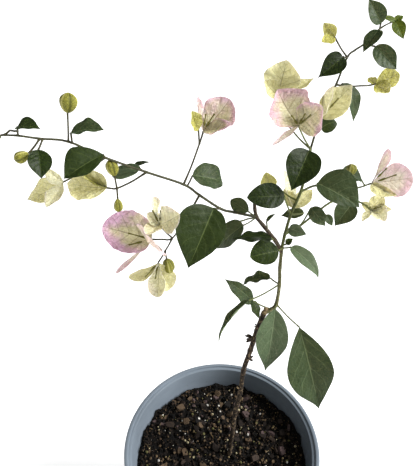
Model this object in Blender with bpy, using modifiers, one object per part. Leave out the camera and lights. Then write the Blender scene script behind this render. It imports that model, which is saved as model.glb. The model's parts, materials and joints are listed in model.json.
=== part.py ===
"""Young bougainvillea in a round plastic nursery pot: pot, potting mix, limbs, leaves and blooms.

Metres, +Z up. The origin is the centre of the pot's flat underside, and the plant leans back, to +Y.
Lengths in the plant's own sizes are millimetres, and angles are degrees: a heading is the compass
turn from +X towards +Y, a slope is the rise above the level, and a roll turns a blade about its midrib.
"""
import math
from typing import NamedTuple

import bmesh
import bpy
from mathutils import Vector, noise

MM = 0.001
GAP = 0.3                       # clearance between touching pieces

# Pot: a tapered shell with a stepped lip, a short outer skirt and drain holes round its floor
POT_HEIGHT = 142.0
POT_RIM_RADIUS = 76.0
POT_FOOT_RADIUS = 54.7
POT_WALL = 1.6
POT_FLOOR = 2.4
POT_MOUTH_RADIUS = 70.2         # inner edge of the lip
POT_SKIRT_DEPTH = 9.0
POT_STEP_DEPTH = 1.4            # how far the lip's inner ledge lies below its crown
POT_SIDES = 36
DRAIN_HOLES = 6
DRAIN_HOLE_RADIUS = 4.0
DRAIN_CIRCLE_RADIUS = 40.0
DRAIN_HOLE_SIDES = 6
DRAIN_TWIST = 0.2               # keeps the holes' corners off the floor's own edges

# Potting mix
SOIL_DEPTH_BELOW_RIM = 20.0
SOIL_FLAT_RADIUS = 12.0         # level patch round the foot of the trunk
SOIL_LUMP_HEIGHT = 1.6
SOIL_LUMP_SPACING = 17.0

# Plant
TRUNK_FOOT = (7.0, 1.5)         # where the trunk leaves the potting mix, from the pot's axis
ROOT_FLARE = 1.2
ROOT_FLARE_HEIGHT = 7.0
STALK_WIDTH = 1.2
BLADE_THICKNESS = 0.8
BLADE_LAP = 0.9                 # how far a blade's base runs back into its stalk
BLADE_STEPS = 4                 # stretches along each side of a blade
SHORT_BLADE = 14.0              # a shorter blade has one stretch fewer, and one over twice it has one more
STEP_CROWDING = 1.25            # over 1, the stretches are shorter towards the base
OUTLINE_SWELL = 1.06            # makes up for the straight stretches' cutting the corners
BUD_SIDES = 6
BUD_RINGS = 5

MERGE_DISTANCE = 0.01 * MM
FLAT_ANGLE = math.radians(1.0)  # faces that turn less than this are one face


class Run(NamedTuple):
    """One straight stretch of a stem or a stalk."""
    length: float
    heading: float
    slope: float


class Limb(NamedTuple):
    """One tapering stem that leaves its parent at a numbered node and runs on from there."""
    name: str
    parent: str
    node: float
    base_width: float
    tip_width: float
    finish: str
    runs: tuple


class Blade(NamedTuple):
    """One leaf, bract or closed bud: its size, the way that it points and how it is bent.

    Its belly is the share of its length where it is widest, point and base are the powers that draw its
    outline out at its tip and its base, and bias is how much broader the half on its right is.
    """
    kind: str
    length: float
    width: float
    heading: float
    slope: float
    roll: float
    fold: float
    curl: float
    belly: float
    point: float
    base: float
    bias: float


class Sprig(NamedTuple):
    """A stalk with its blades at the end, and side stalks that fork off after its first stretch."""
    parent: str
    node: float
    path: tuple
    blades: tuple
    forks: tuple = ()


def leaf(length, width, heading, slope, roll=0.0, belly=0.38, curl=24.0, fold=16.0, point=0.6, base=0.6,
         bias=0.0):
    """Return a leaf blade; its point runs from 0, blunt, to 1, drawn out."""
    tip = 0.62 + 0.75 * point
    return Blade("leaf", length, width, heading, slope, roll, fold, curl, belly, tip, base, bias)


def bract(length, width, heading, slope, roll=0.0, belly=0.45, curl=-30.0, fold=24.0, point=0.6, base=0.72,
          bias=0.0):
    """Return one of the papery bracts of a bloom; its point runs from 0, blunt, to 1, drawn out."""
    tip = 0.48 + 0.55 * point
    return Blade("bract", length, width, heading, slope, roll, fold, curl, belly, tip, base, bias)


def bud(length, width, heading, slope):
    """Return a bloom that is still closed."""
    return Blade("bud", length, width, heading, slope, 0.0, 0.0, 0.0, 0.5, 1.0, 1.0, 0.0)


LIMBS = (
    Limb("trunk", "", 0, 3.4, 3.8, "old_bark", (
        Run(24, 68, 78), Run(20, 74, 69), Run(18, 55, 71), Run(19, 72, 70), Run(18, 51, 65),
        Run(16, 51, 65), Run(15, 47, 63))),
    Limb("green_stem", "trunk", 7, 2.9, 2.5, "green_bark", (
        Run(6, 26, 15), Run(6, 25, 41), Run(16, 71, 74), Run(12.5, 91, 67), Run(14.5, 81, 66))),
    Limb("brown_fork", "green_stem", 4.8, 3.0, 2.2, "old_bark", (
        Run(9.3, 144, 53), Run(15, 157, 47), Run(7, 155, 48), Run(6, 116, 59), Run(6, 95, 60))),
    Limb("left_bough", "brown_fork", 3, 2.0, 1.1, "green_bark", (
        Run(19, -160, 24), Run(10, -167, 24), Run(19, -167, 41), Run(14, -163, 43), Run(25, -167, 27),
        Run(26, -167, 28), Run(22, -168, 32), Run(15, -164, 14), Run(11, -164, 16), Run(8, -174, 5))),
    Limb("upright_bough", "green_stem", 5, 2.3, 1.8, "green_bark", (
        Run(10, 65, 65), Run(15, 55, 66), Run(17, 44, 60), Run(15, 62, 67), Run(14, 67, 63))),
    Limb("top_bough", "upright_bough", 5, 1.6, 1.0, "green_bark", (
        Run(14, 55, 64), Run(15, 48, 58), Run(15, 45, 56), Run(18, 48, 58), Run(7, 30, 33),
        Run(8, 24, 26), Run(13, 28, 36), Run(10, 26, 20))),
    Limb("right_shoot", "upright_bough", 1, 1.6, 1.2, "green_bark", (
        Run(13, 20, 23), Run(27, 21, 32), Run(19, 25, -10), Run(14, 10, -28))),
    Limb("right_twig", "upright_bough", 3, 1.6, 1.1, "green_bark", (
        Run(13, 23, 8), Run(21, 24, -19), Run(14, 9, -4), Run(9, 0, 21))),
)

FOLIAGE = {
    "left_leaf": (
        Sprig("left_bough", 9, (Run(6, -40, 70),), (leaf(13, 11, -11, -1, -8, 0.22, base=0.35, bias=-0.3),)),
        Sprig("left_bough", 6.9, (Run(7.7, -66, 70),), (leaf(20, 14, -12, 10, -8, bias=-0.3),)),
        Sprig("left_bough", 7.9, (Run(6.7, -112, -40),), (leaf(16.5, 13, -76, -41, 15, 0.45),)),
        Sprig("left_bough", 6, (Run(4, -96, 50),), (leaf(26, 18.5, -141, -15, 30, 0.5, base=0.8, bias=0.28),)),
        Sprig("left_bough", 5, (Run(5, 146, 8),), (leaf(23, 15, 158, -16, 20, bias=-0.5),), (
            Sprig("", 0, (Run(5, 130, 0),), (leaf(13, 6, 53, -11, 5),)),)),
        Sprig("left_bough", 2, (Run(8, -132, 28),), (leaf(42, 33, -123, -44, 30, bias=0.19),)),
        Sprig("left_bough", 3.8, (Run(8, 34, 56),), (leaf(25, 18, 22, -24, -40, 0.46, bias=-0.12),)),
    ),
    "left_bloom": (
        Sprig("left_bough", 7, (Run(15.6, 74, 74),), (bud(10.6, 9, 48, 75),)),
        Sprig("left_bough", 8, (Run(10, -137, -38),), (bud(8, 6.2, -150, -14),)),
        Sprig("left_bough", 6, (Run(27, 153, -34), Run(11, -145, -17)), (
            bract(14, 8, -172, 48, 55, point=0.5, bias=-0.45), bract(33, 16, 167, -30, 50, point=1.0),
            bract(20.5, 10.5, -109, -18, 10, 0.52, point=0.3, base=1.2))),
        Sprig("left_bough", 5, (Run(21, -171, -27), Run(6, -170, 9)), (
            bract(30, 22, 157, -6, 35, 0.42, point=0.5, base=0.4, bias=-0.12),
            bract(23, 9, 141, 8, -5, bias=-0.2)), (
            Sprig("", 0, (Run(9.7, -90, 79),), (bud(10, 7, 136, 73),)),
            Sprig("", 0, (Run(6.3, -84, -59),), (bud(8.3, 5.2, -91, -76),)))),
        Sprig("left_bough", 3, (Run(35, -159, -56), Run(14, -164, 7)), (
            bract(33, 29, 175, 15, 50, 0.48, point=0.0, base=0.3, bias=0.06),
            bract(34, 7, -161, -40, -20), bract(30, 27, -80, 35, 55)), (
            Sprig("", 0, (Run(19, -131, 57),), (
                bract(18, 10, 112, 68, -40), bract(16, 12, -118, 9, 0, point=0.3),
                bract(18, 19, -20, 38, -60, 0.55, point=0.2))),
            Sprig("", 0, (Run(10, -140, -50), Run(10, -158, -57)), (
                bract(22.6, 12, -165, -23, 30, 0.42, point=0.4, bias=-0.1),
                bract(30, 15, 39, -73, -85, 0.62, point=0.0),
                bract(24, 14, -95, -60, -15, 0.66, point=0.0, base=0.8)), (
                Sprig("", 0, (Run(10.5, 87, -71),), (bud(13, 8, 50, -78),)),)))),
        Sprig("left_bough", 4, (Run(28, 22, 67), Run(8, 22, 71)), (
            bract(20, 11, 122, 73, -35), bract(24, 23, 29, 42, -35, 0.58, point=0.1, bias=0.15),
            bract(20, 12, -30, 24, -30)), (
            Sprig("", 0, (Run(11, -96, 68),), (bract(14, 10, -132, 68, 85),)),)),
    ),
    "centre_leaf": (
        Sprig("upright_bough", 5, (Run(4, -114, 6),), (leaf(30, 24, -123, -39, 20, fold=18),)),
        Sprig("upright_bough", 2, (Run(18, -155, 66),), (leaf(26, 18, -167, 5, 45, 0.45, point=0.1),)),
        Sprig("brown_fork", 3, (Run(8, 133, 5),), (leaf(15, 11, 150, 20, 50, 0.5, point=0.1),)),
        Sprig("brown_fork", 3, (Run(17, 135, -48),), (leaf(31, 20, 168, -52, 30),)),
        Sprig("brown_fork", 1, (Run(6.6, -153, 46),), (leaf(27, 17, -169, 4, -5, bias=-0.35),)),
        Sprig("green_stem", 5, (Run(7.3, -120, 18),), (leaf(21, 18, -161, 0, 40, 0.52, point=0.0, bias=0.05),)),
        Sprig("green_stem", 5, (Run(7, -24, 23),), (leaf(29, 16, -37, -31, -10, curl=34, point=1.0),)),
        Sprig("upright_bough", 1, (Run(11, -78, 57),), (leaf(13, 9, -38, 3, -50),)),
        Sprig("upright_bough", 2, (Run(13, 33, -16),), (leaf(17, 9, 158, -21, 30),)),
        Sprig("green_stem", 3, (Run(8, 156, 26),), (leaf(24, 9, 162, -28, 10, bias=0.4),)),
        Sprig("green_stem", 3, (Run(26.7, -149, -6),), (leaf(36.5, 10, -144, -39, -35, fold=32),)),
        Sprig("green_stem", 1.1, (Run(15.7, 176, 28),), (
            leaf(27, 13, 169, 40, 25, bias=-0.2), leaf(13.5, 9, -58, -49, 15, bias=0.25))),
        Sprig("green_stem", 2, (Run(8, -104, 15),), (leaf(48, 24, -107, -64, 20, 0.43, point=1.0, base=0.85),)),
        Sprig("green_stem", 2, (Run(23, -44, -21),), (
            leaf(65, 35, -60, -60, -24, 0.48, fold=20, point=0.9, base=1.1, bias=0.06),)),
    ),
    "centre_bloom": (
        Sprig("upright_bough", 2.6, (Run(13, 150, 20), Run(8, 152, -7)), (
            bract(12, 12, 129, 65, 40, 0.38, point=0.3),)),
        Sprig("upright_bough", 5, (Run(20, 137, 29), Run(19, 171, 49), Run(8, 0, 75)), (
            bract(22, 25, 43, 74, -35, 0.5, point=0.5), bract(17, 12, -146, 43, 80, point=0.3),
            bract(28, 13, 24, 16, -10, point=0.9))),
        Sprig("upright_bough", 5, (Run(23, -152, 56),), (
            bract(26, 35, 152, 52, 35, 0.52, fold=22, point=0.5, base=0.5, bias=-0.15),
            bract(25, 7, -139, -15, -15), bract(20, 24, -27, 48, -70, 0.5, point=0.2, base=0.5, bias=0.2))),
        Sprig("upright_bough", 2, (Run(6, 62, 17),), (
            bract(28, 12, 108, 46, -30), bract(21, 12, 44, 19, -15), bract(15, 11, 131, 45, 10))),
    ),
    "right_leaf": (
        Sprig("top_bough", 4, (Run(6, -133, 14),), (leaf(21, 14, -154, -31, 50, point=1.0),)),
        Sprig("top_bough", 2.5, (Run(12.8, 43, 25),), (leaf(26, 15, -51, -59, 0),)),
        Sprig("top_bough", 1, (Run(3, -37, 12),), (leaf(12, 12, 11, 13, -50),)),
        Sprig("top_bough", 7, (Run(3.3, 74, 65),), (leaf(17, 12.5, 156, 53, 55, fold=20),)),
        Sprig("top_bough", 7, (Run(4, -117, 0),), (leaf(18, 11, -137, -38, 0, bias=-0.12),)),
        Sprig("top_bough", 6, (Run(7, -38, -8),), (leaf(20, 15, -30, -37, -50, 0.44, fold=24, bias=0.15),)),
        Sprig("top_bough", 8, (Run(2, 10, 12),), (
            leaf(7.5, 5, 31, 18, -20), leaf(9.6, 4, 180, 16, 50), leaf(13, 9, -52, -47, -35))),
        Sprig("right_twig", 1, (Run(5, -106, 45),), (leaf(32, 25, -29, -18, -35, 0.42, bias=-0.35),)),
        Sprig("right_twig", 2, (Run(13, 73, 48),), (leaf(16, 13, -12, -22, -40),)),
        Sprig("right_shoot", 3, (Run(2.8, -103, -46),), (leaf(20, 16, -146, -44, 30),)),
        Sprig("right_shoot", 1, (Run(14.6, 13, 67),), (leaf(16, 11, -30, -43, -50),), (
            Sprig("", 0, (Run(12, -5, -25),), (leaf(9, 6, -35, -50, -35),)),)),
    ),
    "right_bloom": (
        Sprig("top_bough", 1, (Run(8, -35, 77),), (
            bract(27, 19, 13, 48, -55, point=0.8, base=0.55), bract(23, 13, -45, 76, -55))),
        Sprig("top_bough", 4, (Run(15, 155, 49),), (bract(12, 9, -177, 45, 90), bract(13, 8, -141, -3, 40))),
        Sprig("top_bough", 3, (Run(19, 15, -7), Run(10, 11, 3)), (
            bract(17, 14, 10, 20, -55, 0.55, point=0.3), bract(12, 12, -54, -11, -35, point=0.2),
            bract(7, 7, 125, 20, 20, point=0.3))),
        Sprig("right_twig", 2, (Run(12, 0, 58),), (bud(8, 7, 87, 76),)),
        Sprig("right_twig", 4, (Run(1, 0, 21),), (
            bract(26.5, 7.5, 28, 69, -20, 0.74, point=0.0, base=0.8, bias=0.4),
            bract(28, 25, -7, 13, -60, 0.6, point=0.0), bract(19.5, 10, -38, -8, -40, 0.4, base=0.4, bias=0.5))),
        Sprig("right_shoot", 4, (Run(5, 0, -46),), (
            bract(14, 12, 33, 37, -30, point=0.2), bract(15, 9, -6, 7, -40, point=1.0),
            bract(12, 6, -134, -23, -5), bract(14.5, 12, -58, -5, -20, point=0.2, bias=-0.3))),
    ),
}

FINISHES = {                    # colour, roughness
    "blue_grey_plastic": ((0.30, 0.35, 0.40), 0.42),
    "potting_mix": ((0.03, 0.02, 0.015), 0.95),
    "old_bark": ((0.10, 0.07, 0.045), 0.85),
    "green_bark": ((0.22, 0.24, 0.11), 0.60),
    "leaf": ((0.045, 0.085, 0.03), 0.45),
    "bract": ((0.62, 0.55, 0.38), 0.70),
    "bud": ((0.45, 0.45, 0.13), 0.65),
}


def clear_scene():
    """Remove every object that is in the scene."""
    for item in list(bpy.data.objects):
        bpy.data.objects.remove(item, do_unlink=True)


def new_collection(name):
    """Return a new collection that hangs under the scene's own."""
    group = bpy.data.collections.new(name)
    bpy.context.scene.collection.children.link(group)
    return group


def finish_material(name):
    """Return the named finish as a Principled material."""
    color, roughness = FINISHES[name]
    material = bpy.data.materials.new(name)
    material.use_nodes = True
    shader = material.node_tree.nodes["Principled BSDF"]
    shader.inputs["Base Color"].default_value = (*color, 1.0)
    shader.inputs["Roughness"].default_value = roughness
    return material


def direction(heading, slope):
    """Return the unit vector of a heading and a slope."""
    level = math.cos(math.radians(slope))
    return Vector((level * math.cos(math.radians(heading)), level * math.sin(math.radians(heading)),
                   math.sin(math.radians(slope))))


def walk(start, runs):
    """Return the points of a path that starts at a point and follows its stretches."""
    points = [start.copy()]
    for run in runs:
        points.append(points[-1] + direction(run.heading, run.slope) * run.length)
    return points


def start_clear_of(holder, node, away, width):
    """Return where a stem of a width can start off its holder, so that its flat end clears the holder."""
    points, widths = holder
    axis = axis_at(points, node)
    across = max(away.cross(axis).length, 0.35)
    along = away.dot(axis)
    reach = (width_at(widths, node) / 2 + GAP + width / 2 * abs(along)) / across
    if node == len(points) - 1 and along > 0.3:
        reach = min(reach, (GAP + width / 2 * across) / along)
    return place_on(points, node) + away * reach


def limb_paths():
    """Return each limb's points and its width at every point, in order from the trunk."""
    paths = {}
    widths = {}
    for limb in LIMBS:
        steps = len(limb.runs)
        taper = [limb.base_width + (limb.tip_width - limb.base_width) * i / steps for i in range(steps + 1)]
        if not limb.parent:
            soil_top = POT_HEIGHT - SOIL_DEPTH_BELOW_RIM
            points = walk(Vector((*TRUNK_FOOT, soil_top + GAP)), limb.runs)
        else:
            points = walk(place_on(paths[limb.parent], limb.node), limb.runs)
        paths[limb.name] = points
        widths[limb.name] = taper
    return paths, widths


def place_on(points, node):
    """Return the point of a path at a node number, which may lie between two nodes."""
    low = min(int(node), len(points) - 2)
    return points[low].lerp(points[low + 1], node - low)


def axis_at(points, node):
    """Return the direction of a path at a node number."""
    low = min(int(node), len(points) - 2)
    return (points[low + 1] - points[low]).normalized()


def width_at(widths, node):
    """Return a limb's width at a node number."""
    low = min(int(node), len(widths) - 2)
    return widths[low] + (widths[low + 1] - widths[low]) * (node - low)


def mesh_object(name, mesh, group, material):
    """Return a new object in a collection that shows a mesh in one material."""
    item = bpy.data.objects.new(name, mesh)
    group.objects.link(item)
    item.data.materials.clear()
    item.data.materials.append(material)
    return item


def tube(points, widths, ring_detail):
    """Return the mesh of a round stem through points given in millimetres, closed at both ends."""
    curve = bpy.data.curves.new("stem", "CURVE")
    curve.dimensions = "3D"
    curve.bevel_depth = MM / 2
    curve.bevel_resolution = ring_detail
    curve.use_fill_caps = True
    spline = curve.splines.new("POLY")
    spline.points.add(len(points) - 1)
    for knot, point, width in zip(spline.points, points, widths):
        knot.co = (*(point * MM), 1.0)
        knot.radius = width
    guide = bpy.data.objects.new("stem", curve)
    bpy.context.scene.collection.objects.link(guide)
    bpy.context.view_layer.update()
    mesh = bpy.data.meshes.new_from_object(guide.evaluated_get(bpy.context.evaluated_depsgraph_get()))
    bpy.data.objects.remove(guide, do_unlink=True)
    bpy.data.curves.remove(curve)
    weld(mesh)
    return mesh


def weld(mesh):
    """Join the points of a mesh that lie together, make its faces flat and turn them outward."""
    editable = bmesh.new()
    editable.from_mesh(mesh)
    bmesh.ops.remove_doubles(editable, verts=editable.verts, dist=MERGE_DISTANCE)
    bmesh.ops.triangulate(editable, faces=editable.faces)
    bmesh.ops.recalc_face_normals(editable, faces=editable.faces)
    editable.to_mesh(mesh)
    editable.free()


def blade_frame(blade):
    """Return a blade's direction along its midrib, its right-hand side and its upper side."""
    along = direction(blade.heading, blade.slope)
    level_side = along.cross(Vector((0, 0, 1))).normalized()
    level_up = level_side.cross(along)
    turn = math.radians(blade.roll)
    side = level_side * math.cos(turn) + level_up * math.sin(turn)
    return along, side, side.cross(along)


def half_width(blade, share):
    """Return half a blade's width at a share of its length."""
    swell = max(math.sin(math.pi * share ** (math.log(0.5) / math.log(blade.belly))), 0.0)
    rise = share ** 2 * (3.0 - 2.0 * share)
    return blade.width / 2 * swell ** (blade.base + (blade.point - blade.base) * rise) * OUTLINE_SWELL


def blade_point(blade, root, across, share):
    """Return the point of a blade at a share of its length, across from -1 to 1 over its width."""
    along, side, up = blade_frame(blade)
    bend = math.radians(blade.curl) or 1e-6
    turned = bend * (share - 0.5)
    arc = blade.length / (2 * math.sin(bend / 2))
    forward = blade.length / 2 + arc * math.sin(turned)
    lift = arc * (math.cos(turned) - math.cos(bend / 2))
    reach = half_width(blade, max(share, 0.0)) * (across + blade.bias * abs(across))
    fold = math.radians(blade.fold)
    return (root + along * forward + up * (lift + abs(reach) * math.sin(fold))
            + side * (reach * math.cos(fold)))


def flat_blade(blade, root):
    """Return a thin mesh of a leaf's or a bract's own outline, folded at its midrib and bent along it."""
    steps = BLADE_STEPS + (blade.length > 2 * SHORT_BLADE) - (blade.length < SHORT_BLADE)
    lap = BLADE_LAP / blade.length
    sheet = bmesh.new()
    bmesh.ops.create_grid(sheet, x_segments=2, y_segments=steps, size=1.0)
    for vert in sheet.verts:
        step = (vert.co.y + 1.0) / 2.0
        share = step ** STEP_CROWDING if step > 0.01 else -lap
        vert.co = blade_point(blade, root, vert.co.x, share) * MM
    bmesh.ops.remove_doubles(sheet, verts=sheet.verts, dist=MERGE_DISTANCE)
    mesh = bpy.data.meshes.new("blade")
    sheet.to_mesh(mesh)
    sheet.free()
    item = bpy.data.objects.new("blade", mesh)
    bpy.context.scene.collection.objects.link(item)
    shell = item.modifiers.new("thickness", "SOLIDIFY")
    shell.thickness = BLADE_THICKNESS * MM
    shell.offset = 0.0
    return baked(item)


def closed_bud(blade, root):
    """Return an egg-shaped mesh for a bloom that is still closed."""
    along, _, _ = blade_frame(blade)
    egg = bmesh.new()
    bmesh.ops.create_uvsphere(egg, u_segments=BUD_SIDES, v_segments=BUD_RINGS, radius=0.5)
    turn = Vector((0, 0, 1)).rotation_difference(along)
    middle = root + along * (blade.length / 2 - BLADE_LAP)
    for vert in egg.verts:
        shaped = Vector((vert.co.x * blade.width, vert.co.y * blade.width, vert.co.z * blade.length))
        vert.co = (middle + turn @ shaped) * MM
    mesh = bpy.data.meshes.new("bud")
    egg.to_mesh(mesh)
    egg.free()
    weld(mesh)
    return mesh


def baked(item):
    """Return an object's mesh with its modifiers applied, and remove the object."""
    bpy.context.view_layer.update()
    mesh = bpy.data.meshes.new_from_object(item.evaluated_get(bpy.context.evaluated_depsgraph_get()))
    bpy.data.objects.remove(item, do_unlink=True)
    weld(mesh)
    return mesh


def sprig_meshes(sprig, start, holder=None):
    """Return the meshes of a sprig's stalk, blades and forks, each overlapping the stalk that holds it."""
    points = walk(start, sprig.path)
    end = points[-1]
    if holder:
        away = direction(sprig.path[0].heading, sprig.path[0].slope)
        points[0] = start_clear_of(holder, sprig.node, away, STALK_WIDTH)
    meshes = [tube(points, [STALK_WIDTH] * len(points), 0)]
    for blade in sprig.blades:
        meshes.append(closed_bud(blade, end) if blade.kind == "bud" else flat_blade(blade, end))
    fork = start + direction(sprig.path[0].heading, sprig.path[0].slope) * sprig.path[0].length
    for side_sprig in sprig.forks:
        meshes.extend(sprig_meshes(side_sprig, fork))
    return meshes


def simplify(mesh):
    """Join the faces of a mesh that lie in one plane."""
    editable = bmesh.new()
    editable.from_mesh(mesh)
    bmesh.ops.dissolve_limit(editable, angle_limit=FLAT_ANGLE, verts=editable.verts, edges=editable.edges)
    bmesh.ops.triangulate(editable, faces=editable.faces)
    editable.to_mesh(mesh)
    editable.free()


def united(name, meshes, group, material):
    """Return one solid object made of meshes that overlap one another."""
    body = mesh_object(name, meshes[0], group, material)
    others = new_collection("pieces")
    for mesh in meshes[1:]:
        others.objects.link(bpy.data.objects.new("piece", mesh))
    union = body.modifiers.new("union", "BOOLEAN")
    union.operation = "UNION"
    union.solver = "EXACT"
    union.operand_type = "COLLECTION"
    union.collection = others
    body.data = baked_copy(body)
    simplify(body.data)
    for piece in list(others.objects):
        bpy.data.objects.remove(piece, do_unlink=True)
    bpy.data.collections.remove(others)
    body.data.materials.clear()
    body.data.materials.append(material)
    return body


def turned(name, profile, sides, group, material):
    """Return a solid turned about the Z axis from a profile that runs down its outer side."""
    mesh = bpy.data.meshes.new(name)
    mesh.from_pydata([(radius * MM, 0.0, height * MM) for radius, height in profile],
                     [(i, i + 1) for i in range(len(profile) - 1)], [])
    item = mesh_object(name, mesh, group, material)
    screw = item.modifiers.new("turn", "SCREW")
    screw.axis = "Z"
    screw.angle = math.tau
    screw.steps = sides
    screw.render_steps = sides
    screw.use_merge_vertices = True
    screw.merge_threshold = MERGE_DISTANCE
    return item


def inner_radius(height):
    """Return the radius of the pot's inner wall at a height."""
    foot = POT_FOOT_RADIUS - POT_WALL
    return foot + (POT_MOUTH_RADIUS - foot) * height / POT_HEIGHT


def build_pot(group, cutters, material):
    """Build the pot's shell and cut the drain holes through its floor."""
    ledge = POT_HEIGHT - POT_STEP_DEPTH
    under_lip = ledge - 2.0
    step_radius = POT_MOUTH_RADIUS + 2.2
    skirt_bottom = POT_HEIGHT - POT_SKIRT_DEPTH
    skirt_inside = POT_RIM_RADIUS - POT_WALL
    profile = (
        (0.0, POT_FLOOR), (inner_radius(POT_FLOOR), POT_FLOOR),
        (POT_MOUTH_RADIUS, ledge), (step_radius, ledge), (step_radius + 0.4, POT_HEIGHT),
        (POT_RIM_RADIUS - 0.9, POT_HEIGHT), (POT_RIM_RADIUS, POT_HEIGHT - 0.9),
        (POT_RIM_RADIUS, skirt_bottom), (skirt_inside, skirt_bottom),
        (inner_radius(under_lip) + POT_WALL, under_lip),
        (POT_FOOT_RADIUS, 0.0), (0.0, 0.0),
    )
    pot = turned("pot", profile, POT_SIDES, group, material)
    pot.data = baked_copy(pot)
    weld(pot.data)
    for i in range(DRAIN_HOLES):
        angle = math.tau * (i + 0.5) / DRAIN_HOLES
        bpy.ops.mesh.primitive_cylinder_add(
            vertices=DRAIN_HOLE_SIDES, radius=DRAIN_HOLE_RADIUS * MM, depth=4 * POT_FLOOR * MM,
            location=(DRAIN_CIRCLE_RADIUS * MM * math.cos(angle),
                      DRAIN_CIRCLE_RADIUS * MM * math.sin(angle), 0))
        drill = bpy.context.active_object
        drill.rotation_euler.z = DRAIN_TWIST
        drill.name = f"drain_drill_{i + 1}"
        for owner in list(drill.users_collection):
            owner.objects.unlink(drill)
        cutters.objects.link(drill)
        drill.hide_render = True
        drill.display_type = "WIRE"
        cut = pot.modifiers.new("drain_hole", "BOOLEAN")
        cut.operation = "DIFFERENCE"
        cut.object = drill


def build_soil(group, material):
    """Build the potting mix: it fills the pot to its level, with an uneven top."""
    top = POT_HEIGHT - SOIL_DEPTH_BELOW_RIM
    bottom = POT_FLOOR + GAP
    edge = inner_radius(top) - GAP
    rings = (0.0, SOIL_FLAT_RADIUS, 0.45 * edge, 0.75 * edge, edge)
    profile = [(radius, top) for radius in rings]
    profile += [(inner_radius(bottom) - GAP, bottom), (0.0, bottom)]
    soil = turned("potting_mix", profile, POT_SIDES, group, material)
    soil.data = baked_copy(soil)
    for vert in soil.data.vertices:
        spot = vert.co / MM
        ring = math.hypot(spot.x, spot.y)
        if spot.z > top - 0.01 and SOIL_FLAT_RADIUS + 1.0 < ring < edge - 1.0:
            lump = noise.noise(Vector((spot.x, spot.y, 0.0)) / SOIL_LUMP_SPACING)
            vert.co.z += lump * SOIL_LUMP_HEIGHT * MM


def baked_copy(item):
    """Apply an object's modifiers and return the mesh that they give."""
    bpy.context.view_layer.update()
    mesh = bpy.data.meshes.new_from_object(item.evaluated_get(bpy.context.evaluated_depsgraph_get()))
    item.modifiers.clear()
    return mesh


def build_limbs(paths, widths, group, materials):
    """Build the trunk, with its root flare and level foot, and every other limb off its parent."""
    for limb in LIMBS:
        points = list(paths[limb.name])
        sizes = list(widths[limb.name])
        if limb.parent:
            away = (points[1] - points[0]).normalized()
            holder = (paths[limb.parent], widths[limb.parent])
            points[0] = start_clear_of(holder, limb.node, away, sizes[0])
        else:
            foot = points[0]
            step = (points[1] - foot).normalized()
            above_foot = foot + Vector((0, 0, 1.5))
            above_flare = foot + step * ROOT_FLARE_HEIGHT
            points[1:1] = [above_foot, above_flare]
            sizes[0:1] = [sizes[0] * ROOT_FLARE, sizes[0] * ROOT_FLARE * 0.93, sizes[0]]
        stem = tube(points, sizes, 2 if limb.base_width > 2.0 else 1)
        mesh_object(limb.name, stem, group, materials[limb.finish])


def build_foliage(paths, widths, group, materials):
    """Build each leaf and bloom as one thin solid in its own outline."""
    for kind, sprigs in FOLIAGE.items():
        for number, sprig in enumerate(sprigs, 1):
            holder = (paths[sprig.parent], widths[sprig.parent])
            meshes = sprig_meshes(sprig, place_on(holder[0], sprig.node), holder)
            united(f"{kind}_{number}", meshes, group, materials[sprig.blades[0].kind])


def main():
    """Build the whole potted plant."""
    clear_scene()
    plant = new_collection("potted_bougainvillea")
    cutters = new_collection("cutters")
    materials = {name: finish_material(name) for name in FINISHES}
    build_pot(plant, cutters, materials["blue_grey_plastic"])
    build_soil(plant, materials["potting_mix"])
    paths, widths = limb_paths()
    build_limbs(paths, widths, plant, materials)
    build_foliage(paths, widths, plant, materials)


main()
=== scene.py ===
"""Looks of a young potted bougainvillea: pot, potting mix, bark, leaves, papery bracts and flower tubes.

Lengths in the plant's own sizes are millimetres and angles are degrees. A heading is the compass turn from
+X towards +Y, a slope is the rise above the level, and a roll turns a blade about its midrib.
"""

import json
import logging
import math
import random
from dataclasses import dataclass, field
from enum import Enum
from functools import partial
from typing import Any, Iterable, Optional, Union

import bmesh
import bpy
import numpy as np
from mathutils import Matrix, Vector, noise

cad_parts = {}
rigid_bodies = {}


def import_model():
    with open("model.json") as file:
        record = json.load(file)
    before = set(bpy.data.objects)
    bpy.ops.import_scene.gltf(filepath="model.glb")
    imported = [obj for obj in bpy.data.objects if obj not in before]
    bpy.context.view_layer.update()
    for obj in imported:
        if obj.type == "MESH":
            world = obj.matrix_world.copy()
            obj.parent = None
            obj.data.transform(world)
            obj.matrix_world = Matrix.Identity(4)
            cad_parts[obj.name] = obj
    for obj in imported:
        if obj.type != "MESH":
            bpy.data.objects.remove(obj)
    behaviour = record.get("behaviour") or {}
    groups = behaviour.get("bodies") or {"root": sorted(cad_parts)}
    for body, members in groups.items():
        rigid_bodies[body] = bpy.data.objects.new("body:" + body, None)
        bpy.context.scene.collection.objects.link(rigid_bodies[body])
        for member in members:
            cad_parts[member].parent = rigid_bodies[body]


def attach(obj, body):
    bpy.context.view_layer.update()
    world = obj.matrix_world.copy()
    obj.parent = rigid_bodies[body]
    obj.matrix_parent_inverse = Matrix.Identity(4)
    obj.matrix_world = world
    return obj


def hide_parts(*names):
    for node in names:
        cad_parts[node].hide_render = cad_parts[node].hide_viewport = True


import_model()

MM = 0.001
UP = Vector((0.0, 0.0, 1.0))
PATTERN_MAP = "Blade"           # across a blade in u, along it in v
BACK = 2.0                      # how far the back's u lies past the front's in that map
BAKE_MAP = "OFBake"             # every blade in a cell of its own
SHADE = "shade"                 # how light each blade is
ROUND = 60.0                    # the sharpest turn of a face that still looks smooth on a living piece
VEIN_PAIRS = 6.0                # how many pairs of side veins a blade has
VEIN_BOW = 1.6                  # how far a side vein runs towards the tip, in spacings of the side veins
VEIN_CURVE = 1.25               # the power by which it bends on its way out
SOFT = {"interpolation_type": "SMOOTHSTEP"}
COLOURS = {"data_type": "RGBA"}

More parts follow.
